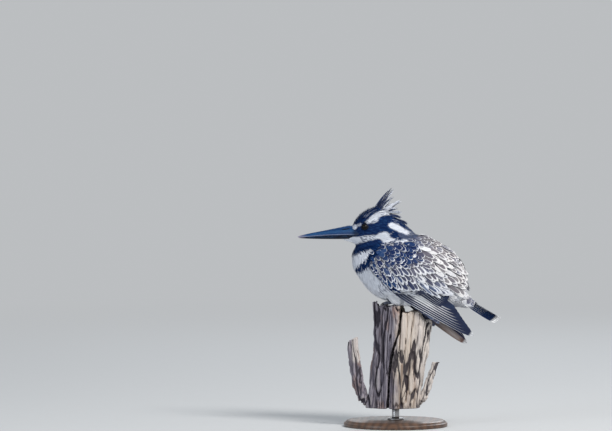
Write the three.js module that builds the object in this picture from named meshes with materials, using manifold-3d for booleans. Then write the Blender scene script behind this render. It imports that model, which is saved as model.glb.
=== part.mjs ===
// A male pied kingfisher at rest on the broken end of a dead limb, which a
// short rod holds above a flat display base. Every length is in millimetres.
// +Z is up, the bird faces -Y, its left side is +X, and the origin is the
// centre of the base's underside.
import * as THREE from "three";
import { mergeVertices } from "three/addons/utils/BufferGeometryUtils.js";
import Module from "manifold-3d";

const wasm = await Module();
wasm.setup();

// ---------------------------------------------------------------- dimensions

const GAP = 0.35; // between neighbouring pieces
const FLATNESS = 0.15; // how far a thinned face may lie from the shape

const STAND = { baseRadius: 56, baseHeight: 7, bevel: 1.2, rodRadius: 4, collarRadius: 9, collarHeight: 1.6 };
const LIMB = { bottom: 20, top: 139 };

// The trunk lies along a line that falls towards the tail.
const TRUNK = { y: 15, z: 172, slope: THREE.MathUtils.degToRad(-20), squareness: 2.15 };

// Along the trunk: station, back, belly and half width, from the breast to the tail's root.
const TRUNK_ROWS = [
  [-63, 2, -9, 4],
  [-58, 8, -21, 13],
  [-48, 15, -29.5, 20.5],
  [-38, 22, -36.5, 25],
  [-25, 30, -42.5, 29],
  [-10, 36, -43, 30.5],
  [5, 37.5, -41, 30.5],
  [20, 34.5, -38, 29],
  [35, 31.5, -33.5, 25.5],
  [47, 25.5, -29, 20.5],
  [56, 14, -25.5, 15],
  [63, 2, -23, 10.5],
  [71, -6.5, -21, 7.4],
  [77, -11.5, -20.8, 5.6],
  [84, -15.5, -21, 3.8],
];

// Along the head: y, crown, throat and half width, from the lores to the nape.
const HEAD_ROWS = [
  [-52.5, 208, 201.5, 2.2],
  [-49.5, 213.5, 199, 5.4],
  [-46, 219, 197.2, 8.4],
  [-41, 225.3, 194.5, 11.6],
  [-33, 231, 190, 14.6],
  [-22, 235.2, 187, 16],
  [-12, 232.8, 185, 16.6],
  [-2, 227, 185, 16.8],
  [9, 219.5, 186, 16.4],
  [18, 212.5, 188, 13.5],
  [26, 204, 192, 8],
];

// Upper bill: y, ridge, cutting edge and half width, from the tip to the face.
const UPPER_ROWS = [
  [-106.5, 204.6, 203.5, 0.5],
  [-102, 206.2, 203.6, 1.1],
  [-91.5, 208.5, 203.9, 2],
  [-76.5, 211.4, 204.5, 3.4],
  [-60, 214.8, 205.2, 5.2],
  [-48, 217.2, 206.2, 7.2],
  [-36, 218, 207.4, 9.4],
];

// Lower bill: y, cutting edge, keel and half width.
const LOWER_ROWS = [
  [-105, 203.2, 202.6, 0.5],
  [-98, 203.4, 202, 1.2],
  [-84, 203.8, 201.3, 2.5],
  [-68, 204.5, 200.6, 4.1],
  [-54, 205.3, 200.2, 6.1],
  [-36, 207, 200.8, 9],
];

const EYE = { x: 11.3, y: -32, z: 215.6, radius: 3.7 };

// The crest stands up from the hind crown in three tufts. Each row is a
// feather: root y, root z, tip y, tip z, tip x and root width.
const CREST_ROWS = [
  [-20, 233, -3.4, 257, 0, 7],
  [-18, 233, -1.6, 253.5, 1.8, 6],
  [-18, 233, -2.4, 252, -2, 6],
  [-15, 231, 1, 248, 0.6, 6],
  [-14, 230, 5.6, 243.8, 2.2, 6],
  [-13, 230, 4.6, 243.2, -2.6, 6],
  [-11, 227, 6.4, 239.6, 0.4, 7],
  [-10, 224, 6.8, 231.8, 2.6, 9],
  [-10, 224, 6.4, 231, -2.8, 9],
];

// The feathers' bases lie together in a low pad on the hind crown.
const CREST_PAD = { depth: 1.4, half: 5, edge: [[-22, 226], [-22, 240], [-6, 238], [6, 229], [8, 222], [-6, 224]] };

// Each wing hangs from its shoulder, and the right one hangs a little lower.
const SHOULDER = { y: -20, z: 180 };
const DROOP = { left: 0, right: THREE.MathUtils.degToRad(-5.8) };
const COVERT_DEPTH = 3.2; // how far the small wing feathers stand off the trunk

// The edge of the small wing feathers seen from the side: shoulder, bend,
// lower edge, hind edge and back, as y and z.
const COVERT_EDGE = [
  [-15, 194],
  [-26.5, 184],
  [-25, 171],
  [-17, 161],
  [1, 145.5],
  [24, 146.5],
  [46, 139.5],
  [65, 133.5],
  [75.5, 146],
  [78, 163],
  [70, 184],
  [48, 201],
  [18, 209],
];

const PRIMARIES = {
  count: 8,
  rootLow: [-5, 151.5],
  rootHigh: [12, 159],
  tipLow: [84.2, 98.8],
  tipHigh: [62, 126.5],
  outerTip: [77, 102.6],
  width: 12.5,
  rootX: 23.4,
  tipX: 14,
};
const SECONDARIES = {
  count: 6,
  rootLow: [14, 161],
  rootHigh: [36, 170],
  tipLow: [61.5, 127],
  tipHigh: [69, 137],
  width: 13,
  rootX: 26.4,
  tipX: 13.5,
};
const VANE = { thickness: 0.7, step: 0.52, sag: 3.4 };

const TAIL = {
  pairs: 5,
  root: [58, 149.8],
  tip: [114.4, 117.6],
  rootSpread: 2.5,
  tipSpread: 9,
  roofDrop: 6.4,
  width: 10,
  outerShorter: 2.6,
  thickness: 0.7,
  slotPairs: 3, // the trunk is slotted for a plainer tail
};

// A foot: three toes forward, one back. Each toe is a fan angle and a length.
const FOOT = { x: 9.5, y: 1.5, z: 133.4, shankTop: 145.5, shankLean: 3, toeRadius: 1.25, shankRadius: 1.6 };
const TOES = [
  { name: "outer", turn: -0.42, length: 13.5, hind: false },
  { name: "middle", turn: -0.08, length: 14.5, hind: false },
  { name: "inner", turn: 0.34, length: 9.5, hind: false },
  { name: "hind", turn: 2.9, length: 7.5, hind: true },
];
const CLAW = { length: 4.6, radius: 0.78, hook: 2.6 };

// The limb's middle, half width and half depth at each height.
const LIMB_ROWS = [
  [20, -3.5, 29, 22],
  [40, -0.5, 27.5, 21.5],
  [60, 2, 29, 21],
  [82, 6.5, 29.5, 20],
  [104, 8, 31, 18.6],
  [118, 9, 32.5, 18],
  [139, 9, 33, 18],
];

// The broken top seen from the side, from the front splinter to the hind one, as y and z.
const BREAK_LINE = [
  [-40, 128], [-24, 134.6], [-20.6, 135.2], [-18.8, 130], [-16, 129.3], [-13.8, 130.9], [-11.5, 131],
  [-8.5, 129.5], [-5, 129.3], [-2, 131], [3, 131.2], [7.2, 130.6], [9.6, 122.5], [14, 123],
  [17.5, 125.2], [25, 124.6], [29.2, 117.2], [31.4, 114.2], [36.4, 115], [41, 108], [50, 104],
];

// The crack's middle and half width at each height.
const CRACK_ROWS = [
  [14, -7.4, 1.7],
  [40, -6.2, 1.5],
  [62, -5, 1.5],
  [84, -1.5, 2],
  [98, 3.5, 2.4],
  [118, 6.6, 2.7],
  [142, 8.4, 3],
];
const CRACK = { outer: 40, heart: 4, mouthShare: 1.5, heartShare: 0.25 };

// A snapped side shoot: the points along it, its half width and its half depth.
const FRONT_SHOOT = { points: [[3, -21, 22], [4, -34.5, 31], [5, -42.6, 60], [4, -47.2, 93.6]], across: 6, thick: 4.6 };
const HIND_SHOOT = { points: [[-1, 20, 22], [2, 30, 31], [4, 38, 52], [3, 44, 70]], across: 4, thick: 3.6 };

// ------------------------------------------------------------------- helpers

const { lerp } = THREE.MathUtils;
const SIDES = [["left", 1], ["right", -1]];

// A THREE geometry as a manifold solid, turned round if its faces point inwards.
function solid(geometry) {
  const bare = new THREE.BufferGeometry().setAttribute("position", geometry.attributes.position);
  bare.setIndex(geometry.index);
  const merged = mergeVertices(bare, 1e-4);
  const triVerts = new Uint32Array(merged.index.array);
  const vertProperties = merged.attributes.position.array;
  if (signedVolume(vertProperties, triVerts) < 0) {
    for (let i = 0; i < triVerts.length; i += 3) {
      [triVerts[i + 1], triVerts[i + 2]] = [triVerts[i + 2], triVerts[i + 1]];
    }
  }
  return new wasm.Manifold(new wasm.Mesh({ numProp: 3, vertProperties, triVerts }));
}

function signedVolume(places, corners) {
  const [a, b, c] = [new THREE.Vector3(), new THREE.Vector3(), new THREE.Vector3()];
  let sum = 0;
  for (let i = 0; i < corners.length; i += 3) {
    a.fromArray(places, corners[i] * 3);
    b.fromArray(places, corners[i + 1] * 3);
    c.fromArray(places, corners[i + 2] * 3);
    sum += a.dot(b.cross(c)) / 6;
  }
  return sum;
}

function geometryOf(made) {
  const mesh = made.getMesh();
  const places = new Float32Array(mesh.numVert * 3);
  for (let i = 0; i < mesh.numVert; i += 1) {
    const from = i * mesh.numProp;
    places.set(mesh.vertProperties.subarray(from, from + 3), i * 3);
  }
  const geometry = new THREE.BufferGeometry();
  geometry.setAttribute("position", new THREE.BufferAttribute(places, 3));
  geometry.setIndex(new THREE.BufferAttribute(new Uint32Array(mesh.triVerts), 1));
  geometry.computeVertexNormals();
  return geometry;
}

// The biggest of the bodies that a cut leaves, without the crumbs.
function biggest(made) {
  return made.decompose().reduce((best, body) => (body.volume() > best.volume() ? body : best));
}

function joined(solids) {
  return solids.reduce((all, one) => all.add(one));
}

// Rows of numbers read as smooth curves over their first column.
function readRow(rows, at) {
  const last = rows.length - 1;
  let i = rows.findIndex((row) => row[0] > at) - 1;
  if (i < 0) i = at <= rows[0][0] ? 0 : last - 1;
  const [a, b] = [rows[i], rows[i + 1]];
  const [before, after] = [rows[Math.max(i - 1, 0)], rows[Math.min(i + 2, last)]];
  const span = b[0] - a[0];
  const u = (at - a[0]) / span;
  return a.map((value, k) => {
    const leave = ((b[k] - before[k]) / (b[0] - before[0])) * span;
    const arrive = ((after[k] - a[k]) / (after[0] - a[0])) * span;
    const [u2, u3] = [u * u, u * u * u];
    return (
      (2 * u3 - 3 * u2 + 1) * value + (u3 - 2 * u2 + u) * leave +
      (3 * u2 - 2 * u3) * b[k] + (u3 - u2) * arrive
    );
  });
}

// A closed surface over rings of equal counts, each end closed on its own centre.
function loft(rings) {
  const sides = rings[0].length;
  const places = rings.flat().flatMap((p) => [p.x, p.y, p.z]);
  const ends = [rings[0], rings[rings.length - 1]];
  for (const ring of ends) {
    const centre = ring.reduce((sum, p) => sum.add(p), new THREE.Vector3()).divideScalar(sides);
    places.push(centre.x, centre.y, centre.z);
  }
  const [startPole, endPole] = [rings.length * sides, rings.length * sides + 1];
  const lastRing = (rings.length - 1) * sides;
  const index = [];
  for (let k = 0; k < sides; k += 1) {
    const next = (k + 1) % sides;
    index.push(startPole, next, k, endPole, lastRing + k, lastRing + next);
    for (let r = 0; r < rings.length - 1; r += 1) {
      const [here, there] = [r * sides, (r + 1) * sides];
      index.push(here + k, here + next, there + next, here + k, there + next, there + k);
    }
  }
  const geometry = new THREE.BufferGeometry();
  geometry.setAttribute("position", new THREE.BufferAttribute(new Float32Array(places), 3));
  geometry.setIndex(index);
  return geometry;
}

// One ring of a rounded section: angle 0 is the side, a quarter turn is the top.
function section(sides, halfWidth, top, bottom, squareness, place) {
  const ring = [];
  for (let k = 0; k < sides; k += 1) {
    const angle = (k / sides) * 2 * Math.PI;
    const [c, s] = [Math.cos(angle), Math.sin(angle)];
    const across = Math.sign(c) * Math.abs(c) ** (2 / squareness) * halfWidth;
    const up = Math.sign(s) * Math.abs(s) ** (2 / squareness);
    ring.push(place(across, (top + bottom) / 2 + (up * (top - bottom)) / 2));
  }
  return ring;
}

function spaced(from, to, count) {
  return Array.from({ length: count }, (_, i) => lerp(from, to, i / (count - 1)));
}

// Spaced closer near both ends, where a body rounds off.
function roundedSpacing(from, to, count) {
  return spaced(0, Math.PI, count).map((angle) => {
    const even = angle / Math.PI;
    return lerp(from, to, lerp(even, (1 - Math.cos(angle)) / 2, 0.5));
  });
}

// A bar of oval section along a curve. radiusAt(u) gives [across, thick].
function bar(curve, steps, sides, radiusAt) {
  const rings = spaced(0, 1, steps).map((u) => {
    const centre = curve.getPoint(u);
    const along = curve.getTangent(u);
    const side = new THREE.Vector3(1, 0, 0).cross(along).cross(along).normalize().negate();
    const up = side.clone().cross(along).normalize();
    const [across, thick] = radiusAt(u);
    return spaced(0, 2 * Math.PI, sides + 1).slice(0, sides).map((angle) =>
      centre.clone()
        .addScaledVector(side, Math.cos(angle) * across)
        .addScaledVector(up, Math.sin(angle) * thick),
    );
  });
  return solid(loft(rings));
}

// A long feather: a thin blade with a rounded tip, along a bent line.
function vane({ root, bend, tip, face, width, thickness, grow = 0, tipShare = 0.22, steps = 5 }) {
  const stretch = tip.clone().sub(root).setLength(grow);
  const line = new THREE.QuadraticBezierCurve3(root.clone().sub(stretch), bend, tip.clone().add(stretch));
  const length = line.getLength();
  const half = thickness / 2 + grow;
  const rings = spaced(0, 1, steps).map((share) => {
    const u = 1 - (1 - share) ** 1.5;
    const centre = line.getPoint(u);
    const along = line.getTangent(u);
    const across = along.clone().cross(face).normalize();
    const out = across.clone().cross(along).normalize();
    const toTip = (1 - u) * length;
    const round = Math.sqrt(Math.max(0, 1 - (1 - Math.min(1, toTip / (length * tipShare))) ** 2));
    const opening = lerp(0.55, 1, Math.min(1, u * 3));
    const reach = Math.max(0.35, (width / 2) * opening * round) + grow;
    const corner = (a, b) =>
      centre.clone().addScaledVector(across, a * reach).addScaledVector(out, b * half);
    return [corner(-1, -1), corner(1, -1), corner(1, 1), corner(-1, 1)];
  });
  return solid(loft(rings));
}

const point = (x, [y, z]) => new THREE.Vector3(x, y, z);
const between = (a, b, u) => [lerp(a[0], b[0], u), lerp(a[1], b[1], u)];

// A closed outline of y and z pairs with its corners rounded.
function rounded(edge, pointsPerSpan = 3) {
  const curve = new THREE.CatmullRomCurve3(edge.map((p) => point(0, p)), true, "centripetal");
  return curve.getPoints(edge.length * pointsPerSpan).slice(0, -1).map((p) => [p.y, p.z]);
}

// A side view outline, filled through the model from one x to another.
function sidePrism(outline, fromX, toX) {
  const shape = new THREE.Shape(outline.map(([y, z]) => new THREE.Vector2(y, z)));
  const prism = new THREE.ExtrudeGeometry(shape, { depth: toX - fromX, bevelEnabled: false });
  // The extrusion runs along +Z over (y, z): turn it to run along +X.
  const turn = new THREE.Matrix4().makeBasis(
    new THREE.Vector3(0, 1, 0),
    new THREE.Vector3(0, 0, 1),
    new THREE.Vector3(1, 0, 0),
  );
  prism.applyMatrix4(turn).translate(fromX, 0, 0);
  return solid(prism);
}

// Pushes each corner of an outline out from the outline's middle.
function widened(edge, by) {
  const middle = edge.reduce((sum, p) => [sum[0] + p[0] / edge.length, sum[1] + p[1] / edge.length], [0, 0]);
  return edge.map(([y, z]) => {
    const [dy, dz] = [y - middle[0], z - middle[1]];
    const reach = Math.hypot(dy, dz);
    return [y + (dy / reach) * by, z + (dz / reach) * by];
  });
}

function turnedAboutShoulder([y, z], angle) {
  const [dy, dz] = [y - SHOULDER.y, z - SHOULDER.z];
  return [
    SHOULDER.y + dy * Math.cos(angle) - dz * Math.sin(angle),
    SHOULDER.z + dy * Math.sin(angle) + dz * Math.cos(angle),
  ];
}

// The half of space on the side of a plane that its normal points to.
function beyond(made, normal, offset) {
  return made.trimByPlane(normal, offset);
}

// ----------------------------------------------------------- head and trunk

function trunkShape(grow = 0, steps = 16, sides = 20) {
  const [c, s] = [Math.cos(TRUNK.slope), Math.sin(TRUNK.slope)];
  const first = TRUNK_ROWS[0][0];
  const last = TRUNK_ROWS[TRUNK_ROWS.length - 1][0];
  const rings = roundedSpacing(first, last, steps).map((at) => {
    const [, top, bottom, half] = readRow(TRUNK_ROWS, at);
    const along = at + grow * ((2 * (at - first)) / (last - first) - 1);
    return section(sides, half + grow, top + grow, bottom - grow, TRUNK.squareness, (x, up) =>
      new THREE.Vector3(x, TRUNK.y + along * c - up * s, TRUNK.z + along * s + up * c),
    );
  });
  return solid(loft(rings));
}

function headShape(grow = 0, steps = 14, sides = 20) {
  const first = HEAD_ROWS[0][0];
  const last = HEAD_ROWS[HEAD_ROWS.length - 1][0];
  const rings = roundedSpacing(first, last, steps).map((y) => {
    const [, top, bottom, half] = readRow(HEAD_ROWS, y);
    const along = y + grow * ((2 * (y - first)) / (last - first) - 1);
    return section(sides, half + grow, top + grow, bottom - grow, 2.2, (x, z) => new THREE.Vector3(x, along, z));
  });
  return solid(loft(rings));
}

// The neck is the band between two planes that rise from throat to nape.
function neckPlane(front, back) {
  const normal = new THREE.Vector3(0, -(back[1] - front[1]), back[0] - front[0]).normalize();
  return { normal: normal.toArray(), offset: normal.y * front[0] + normal.z * front[1] };
}
const UPPER_NECK = neckPlane([-46, 196.2], [10, 219.5]);
const LOWER_NECK = neckPlane([-50, 186], [20, 210]);

function eyeShape(side, grow = 0) {
  const ball = new THREE.SphereGeometry(EYE.radius + grow, 14, 9).rotateZ(Math.PI / 2);
  return solid(ball.translate(side * EYE.x, EYE.y, EYE.z));
}

// Half a bill: a flat cutting face, arched up to the ridge (rise 1) or down to the keel (rise -1).
function billShape(rows, rise, grow = 0, steps = 8, sides = 9) {
  const rings = spaced(rows[0][0], rows[rows.length - 1][0], steps).map((y) => {
    const [, top, bottom, half] = readRow(rows, y);
    const cutting = (rise > 0 ? bottom - grow : top + grow);
    const height = top - bottom + 2 * grow;
    return spaced(0, Math.PI, sides).map((angle) => {
      const x = Math.cos(angle) * (half + grow);
      const arch = Math.sin(angle) ** 0.8 * (1 - 0.12 * Math.sin(2 * angle) ** 2);
      return new THREE.Vector3(x, y, cutting + rise * arch * height);
    });
  });
  return solid(loft(rings));
}

function crestShape() {
  const feathers = CREST_ROWS.map(([rootY, rootZ, tipY, tipZ, tipX, width]) => {
    const root = new THREE.Vector3(tipX * 0.5, rootY, rootZ);
    const tip = new THREE.Vector3(tipX, tipY, tipZ);
    const bend = root.clone().lerp(tip, 0.5).add(new THREE.Vector3(0, -0.8, 0.8));
    const line = new THREE.QuadraticBezierCurve3(root, bend, tip);
    return bar(line, 4, 5, (u) => [lerp(width / 2, 0.4, u ** 0.8), lerp(2.2, 0.36, u)]);
  });
  const pad = headShape(CREST_PAD.depth).intersect(sidePrism(rounded(CREST_PAD.edge), -CREST_PAD.half, CREST_PAD.half));
  return biggest(joined([...feathers, pad]).subtract(headShape(GAP)));
}

// --------------------------------------------------------------------- wings

function covertsShape(side, grow = 0) {
  const droop = side > 0 ? DROOP.left : DROOP.right;
  const edge = COVERT_EDGE.map((p) => turnedAboutShoulder(p, droop * 0.6));
  const [from, to] = side > 0 ? [6 - grow, 60] : [-60, -6 + grow];
  const depth = COVERT_DEPTH + grow;
  return trunkShape(depth).intersect(sidePrism(rounded(widened(edge, grow)), from, to));
}

// One flight feather of a fan. share runs from the fan's lowest feather, 0, to its highest, 1.
function flightVane(side, fan, index, grow) {
  const share = index / (fan.count - 1);
  const droop = side > 0 ? DROOP.left : DROOP.right;
  const short = fan.outerTip && index === 0;
  const tipAt = turnedAboutShoulder(short ? fan.outerTip : between(fan.tipLow, fan.tipHigh, share), droop);
  const rootAt = turnedAboutShoulder(between(fan.rootLow, fan.rootHigh, share), droop);
  const lift = index * VANE.step;
  const root = point(side * (fan.rootX + lift), rootAt);
  const tip = point(side * (fan.tipX + lift), tipAt);
  const bend = root.clone().lerp(tip, 0.55);
  bend.x += side * 4.6;
  bend.z -= VANE.sag * (1 - share * 0.6);
  return vane({
    root,
    bend,
    tip,
    face: new THREE.Vector3(side, 0.12, -0.16).normalize(),
    width: fan.width,
    thickness: VANE.thickness,
    grow,
  });
}

function fanShape(side, fan, grow = 0) {
  return joined(Array.from({ length: fan.count }, (_, i) => flightVane(side, fan, i, grow)));
}

// ---------------------------------------------------------------------- tail

function tailShape(grow = 0, pairs = TAIL.pairs) {
  const feathers = [];
  for (let i = 0; i < pairs * 2; i += 1) {
    const across = (i - (pairs * 2 - 1) / 2) / (pairs - 0.5); // -1 to 1
    const outward = Math.abs(across);
    const shorter = TAIL.outerShorter * outward ** 2;
    const drop = TAIL.roofDrop * outward ** 1.6;
    const toTip = new THREE.Vector2(TAIL.tip[0] - TAIL.root[0], TAIL.tip[1] - TAIL.root[1]).normalize();
    const down = new THREE.Vector2(toTip.y, -toTip.x);
    const tipY = TAIL.tip[0] - toTip.x * shorter + down.x * drop;
    const tipZ = TAIL.tip[1] - toTip.y * shorter + down.y * drop;
    const root = new THREE.Vector3(across * TAIL.rootSpread, TAIL.root[0], TAIL.root[1] - outward * 1.5);
    const tip = new THREE.Vector3(across * TAIL.tipSpread, tipY, tipZ);
    const face = new THREE.Vector3(across * 0.75, -down.x, -down.y).normalize();
    feathers.push(
      vane({
        root,
        bend: root.clone().lerp(tip, 0.5).add(new THREE.Vector3(0, 0, -0.6)),
        tip,
        face,
        width: TAIL.width,
        thickness: TAIL.thickness,
        grow,
        tipShare: 0.1,
        steps: 4,
      }),
    );
  }
  return joined(feathers);
}

// ---------------------------------------------------------------------- feet

// A toe leaves the ankle, arches over and comes down on the wood.
function toeLine(side, toe) {
  const heading = new THREE.Vector3(Math.sin(toe.turn) * side, -Math.cos(toe.turn), 0);
  const start = new THREE.Vector3(side * FOOT.x, FOOT.y, FOOT.z);
  const end = start.clone().addScaledVector(heading, toe.length);
  end.z -= toe.hind ? 1.2 : 0.6;
  const bend = start.clone().lerp(end, 0.5);
  bend.z += 1.8;
  return new THREE.QuadraticBezierCurve3(start, bend, end);
}

function legShape(side) {
  const top = new THREE.Vector3(side * FOOT.x, FOOT.y + FOOT.shankLean, FOOT.shankTop);
  const foot = new THREE.Vector3(side * FOOT.x, FOOT.y, FOOT.z);
  const shank = bar(new THREE.LineCurve3(top, foot), 2, 6, () => [FOOT.shankRadius, FOOT.shankRadius]);
  const toes = TOES.map((toe) =>
    bar(toeLine(side, toe), 5, 6, (u) => {
      const knuckle = 1 + 0.1 * Math.cos(u * 6 * Math.PI);
      const radius = FOOT.toeRadius * lerp(1.05, 0.78, u) * knuckle;
      return [radius, radius];
    }),
  );
  return joined([shank, ...toes]).subtract(trunkShape(GAP));
}

function clawShape(side, toe, grow = 0) {
  const line = toeLine(side, toe);
  const heading = line.getTangent(1);
  const start = line.getPoint(1).addScaledVector(heading, GAP - grow);
  const tip = start.clone().addScaledVector(heading, CLAW.length * 0.75 + grow);
  tip.z -= CLAW.hook + grow;
  const bend = start.clone().addScaledVector(heading, CLAW.length * 0.6);
  bend.z += 0.3;
  const curve = new THREE.QuadraticBezierCurve3(start, bend, tip);
  return bar(curve, 4, 6, (u) => {
    const radius = lerp(CLAW.radius, 0.28, u) + grow;
    return [radius, radius];
  });
}

// --------------------------------------------------------------------- perch

function limbBody(grow = 0, steps = 9, sides = 26) {
  const rings = spaced(LIMB.bottom, LIMB.top, steps).map((z) => {
    const [, middle, halfWidth, halfDepth] = readRow(LIMB_ROWS, z);
    return spaced(0, 2 * Math.PI, sides + 1).slice(0, sides).map((angle) => {
      const twist = z * 0.012;
      const ridges = 0.045 * Math.sin(5 * angle + 1 + twist) + 0.03 * Math.sin(9 * angle - 2 * twist)
        + 0.02 * Math.sin(14 * angle + 3 + twist);
      return new THREE.Vector3(
        Math.cos(angle) * (halfDepth * (1 + ridges) + grow),
        middle + Math.sin(angle) * (halfWidth * (1 + ridges) + grow),
        z,
      );
    });
  });
  return solid(loft(rings));
}

function limbShape() {
  const [front, hind] = [BREAK_LINE[0][0], BREAK_LINE[BREAK_LINE.length - 1][0]];
  const broken = sidePrism([...BREAK_LINE, [hind, LIMB.top * 1.1], [front, LIMB.top * 1.1]], -CRACK.outer, CRACK.outer);
  // The crack opens on the bird's left and closes towards the heart of the wood.
  const crackRings = spaced(CRACK_ROWS[0][0], CRACK_ROWS[CRACK_ROWS.length - 1][0], 10).map((z) => {
    const [, middle, half] = readRow(CRACK_ROWS, z);
    const [mouth, heart] = [half * CRACK.mouthShare, half * CRACK.heartShare];
    return [
      new THREE.Vector3(CRACK.outer, middle - mouth, z),
      new THREE.Vector3(CRACK.outer, middle + mouth, z),
      new THREE.Vector3(CRACK.heart, middle + heart, z),
      new THREE.Vector3(CRACK.heart, middle - heart, z),
    ];
  });
  const grips = joined(SIDES.flatMap(([, side]) => TOES.map((toe) => clawShape(side, toe, GAP))));
  return biggest(limbBody().subtract(broken).subtract(solid(loft(crackRings))).subtract(grips));
}

// A snapped side shoot, cut back where it meets the limb.
function shootShape({ points, across, thick }, limb) {
  const line = new THREE.CatmullRomCurve3(points.map((p) => new THREE.Vector3(...p)));
  const rings = spaced(0, 1, 7).map((u) => {
    const centre = line.getPoint(u);
    const along = line.getTangent(u);
    const side = new THREE.Vector3(1, 0, 0);
    const up = side.clone().cross(along).normalize();
    return spaced(0, 2 * Math.PI, 13).slice(0, 12).map((angle) => {
      const ridge = 1 + 0.08 * Math.sin(3 * angle + 4 * u);
      const slant = u > 0.99 ? -Math.cos(angle) * 1.6 : 0;
      return centre.clone()
        .addScaledVector(up, Math.cos(angle) * across * ridge)
        .addScaledVector(side, Math.sin(angle) * thick * ridge)
        .addScaledVector(along, slant);
    });
  });
  return biggest(solid(loft(rings)).subtract(limb).trimByPlane([0, 0, 1], LIMB.bottom));
}

// --------------------------------------------------------------------- stand

function turned(profile, segments = 32) {
  const lathe = new THREE.LatheGeometry(profile.map(([r, z]) => new THREE.Vector2(r, z)), segments);
  return solid(lathe.rotateX(Math.PI / 2));
}

function baseShape() {
  const { baseRadius: r, baseHeight: h, bevel } = STAND;
  return turned([[0, 0], [r - bevel / 2, 0], [r, bevel / 2], [r, h - bevel], [r - bevel, h], [0, h]]);
}

function rodShape() {
  const { baseHeight, rodRadius, collarRadius, collarHeight } = STAND;
  const [low, high] = [baseHeight + GAP, LIMB.bottom - GAP];
  return turned([
    [0, low], [collarRadius, low], [collarRadius, low + collarHeight], [rodRadius, low + collarHeight],
    [rodRadius, high - collarHeight], [collarRadius, high - collarHeight], [collarRadius, high], [0, high],
  ], 16);
}

// ------------------------------------------------------------------ assembly

const kingfisher = new THREE.Group();

const FINISH = {
  plumage: { color: 0xe9e7e2, roughness: 0.8 },
  darkPlumage: { color: 0x17181d, roughness: 0.65 },
  bill: { color: 0x14151a, roughness: 0.35 },
  eye: { color: 0x1c0f08, roughness: 0.05 },
  foot: { color: 0x25262b, roughness: 0.6 },
  wood: { color: 0x9a8d7d, roughness: 0.9 },
  base: { color: 0x2a2320, roughness: 0.45 },
  rod: { color: 0x8f9296, roughness: 0.3, metalness: 1 },
};

function place(name, made, finish) {
  const geometry = geometryOf(made.simplify(FLATNESS));
  const mesh = new THREE.Mesh(geometry, new THREE.MeshStandardMaterial(FINISH[finish]));
  mesh.name = name;
  kingfisher.add(mesh);
}

place("stand_base", baseShape(), "base");
place("stand_rod", rodShape(), "rod");

const limbClear = limbBody(GAP + 0.3);
place("perch_limb", limbShape(), "wood");
place("perch_front_shoot", shootShape(FRONT_SHOOT, limbClear), "wood");
place("perch_hind_shoot", shootShape(HIND_SHOOT, limbClear), "wood");

const trunkAndNeck = trunkShape().add(headShape());
const eyeHoles = eyeShape(1, GAP).add(eyeShape(-1, GAP));
const wholeHead = beyond(trunkAndNeck, UPPER_NECK.normal, UPPER_NECK.offset + GAP / 2);
place("head", biggest(wholeHead.subtract(eyeHoles)), "plumage");
const neckTop = beyond(trunkAndNeck, UPPER_NECK.normal.map((n) => -n), -UPPER_NECK.offset + GAP / 2);
place("neck", biggest(beyond(neckTop, LOWER_NECK.normal, LOWER_NECK.offset + GAP / 2)), "plumage");
const trunkBelow = beyond(trunkAndNeck, LOWER_NECK.normal.map((n) => -n), -LOWER_NECK.offset + GAP / 2);
place("trunk", biggest(trunkBelow.subtract(tailShape(GAP * 2.4, TAIL.slotPairs))), "plumage");

place("bill_upper", biggest(billShape(UPPER_ROWS, 1).subtract(headShape(GAP))), "bill");
place("bill_lower", biggest(billShape(LOWER_ROWS, -1).subtract(headShape(GAP))), "bill");
place("crest", crestShape(), "darkPlumage");
place("tail", tailShape(), "darkPlumage");

for (const [name, side] of SIDES) {
  place(`eye_${name}`, eyeShape(side), "eye");
  const skin = trunkShape(GAP).add(headShape(GAP));
  place(`wing_${name}_coverts`, biggest(covertsShape(side).subtract(skin)), "plumage");
  const covered = skin.add(covertsShape(side, GAP));
  const secondaries = biggest(fanShape(side, SECONDARIES).subtract(covered));
  place(`wing_${name}_secondaries`, secondaries, "darkPlumage");
  const clear = covered.add(fanShape(side, SECONDARIES, GAP));
  place(`wing_${name}_primaries`, biggest(fanShape(side, PRIMARIES).subtract(clear)), "darkPlumage");
  place(`leg_${name}`, biggest(legShape(side)), "foot");
  for (const toe of TOES) {
    place(`claw_${name}_${toe.name}`, clawShape(side, toe), "foot");
  }
}

export default kingfisher;
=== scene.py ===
# %% [markdown]
# # A male pied kingfisher on a broken limb
# The bird is shown life size, as a museum would mount it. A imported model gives
# the true size of every piece, and this lesson puts the fine surface on it:
# a skin, many thousand feathers laid over it in the order they grow, long
# wing and tail feathers, a horn bill, wet eyes, scaly toes and dead wood.
# Places are written in millimetres, and turned into metres when a mesh is made.

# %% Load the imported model
import math

import bpy
import numpy as np
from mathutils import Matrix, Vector, noise
from mathutils.bvhtree import BVHTree


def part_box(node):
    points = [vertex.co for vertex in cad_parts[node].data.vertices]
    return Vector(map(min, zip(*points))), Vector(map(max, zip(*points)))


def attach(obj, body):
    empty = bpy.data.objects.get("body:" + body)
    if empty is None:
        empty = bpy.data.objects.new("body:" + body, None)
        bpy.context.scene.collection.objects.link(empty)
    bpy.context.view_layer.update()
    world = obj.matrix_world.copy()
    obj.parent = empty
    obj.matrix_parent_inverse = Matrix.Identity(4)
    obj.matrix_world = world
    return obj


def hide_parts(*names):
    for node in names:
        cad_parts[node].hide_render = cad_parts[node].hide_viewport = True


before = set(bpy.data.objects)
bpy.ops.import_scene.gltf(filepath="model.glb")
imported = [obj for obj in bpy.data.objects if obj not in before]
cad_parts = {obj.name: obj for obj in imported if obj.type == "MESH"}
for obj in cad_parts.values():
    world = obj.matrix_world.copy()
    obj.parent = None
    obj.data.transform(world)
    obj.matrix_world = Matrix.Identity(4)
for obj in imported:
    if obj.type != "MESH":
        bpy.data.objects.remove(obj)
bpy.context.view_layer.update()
MM = 0.001
CHANCE = np.random.default_rng(7)
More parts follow.
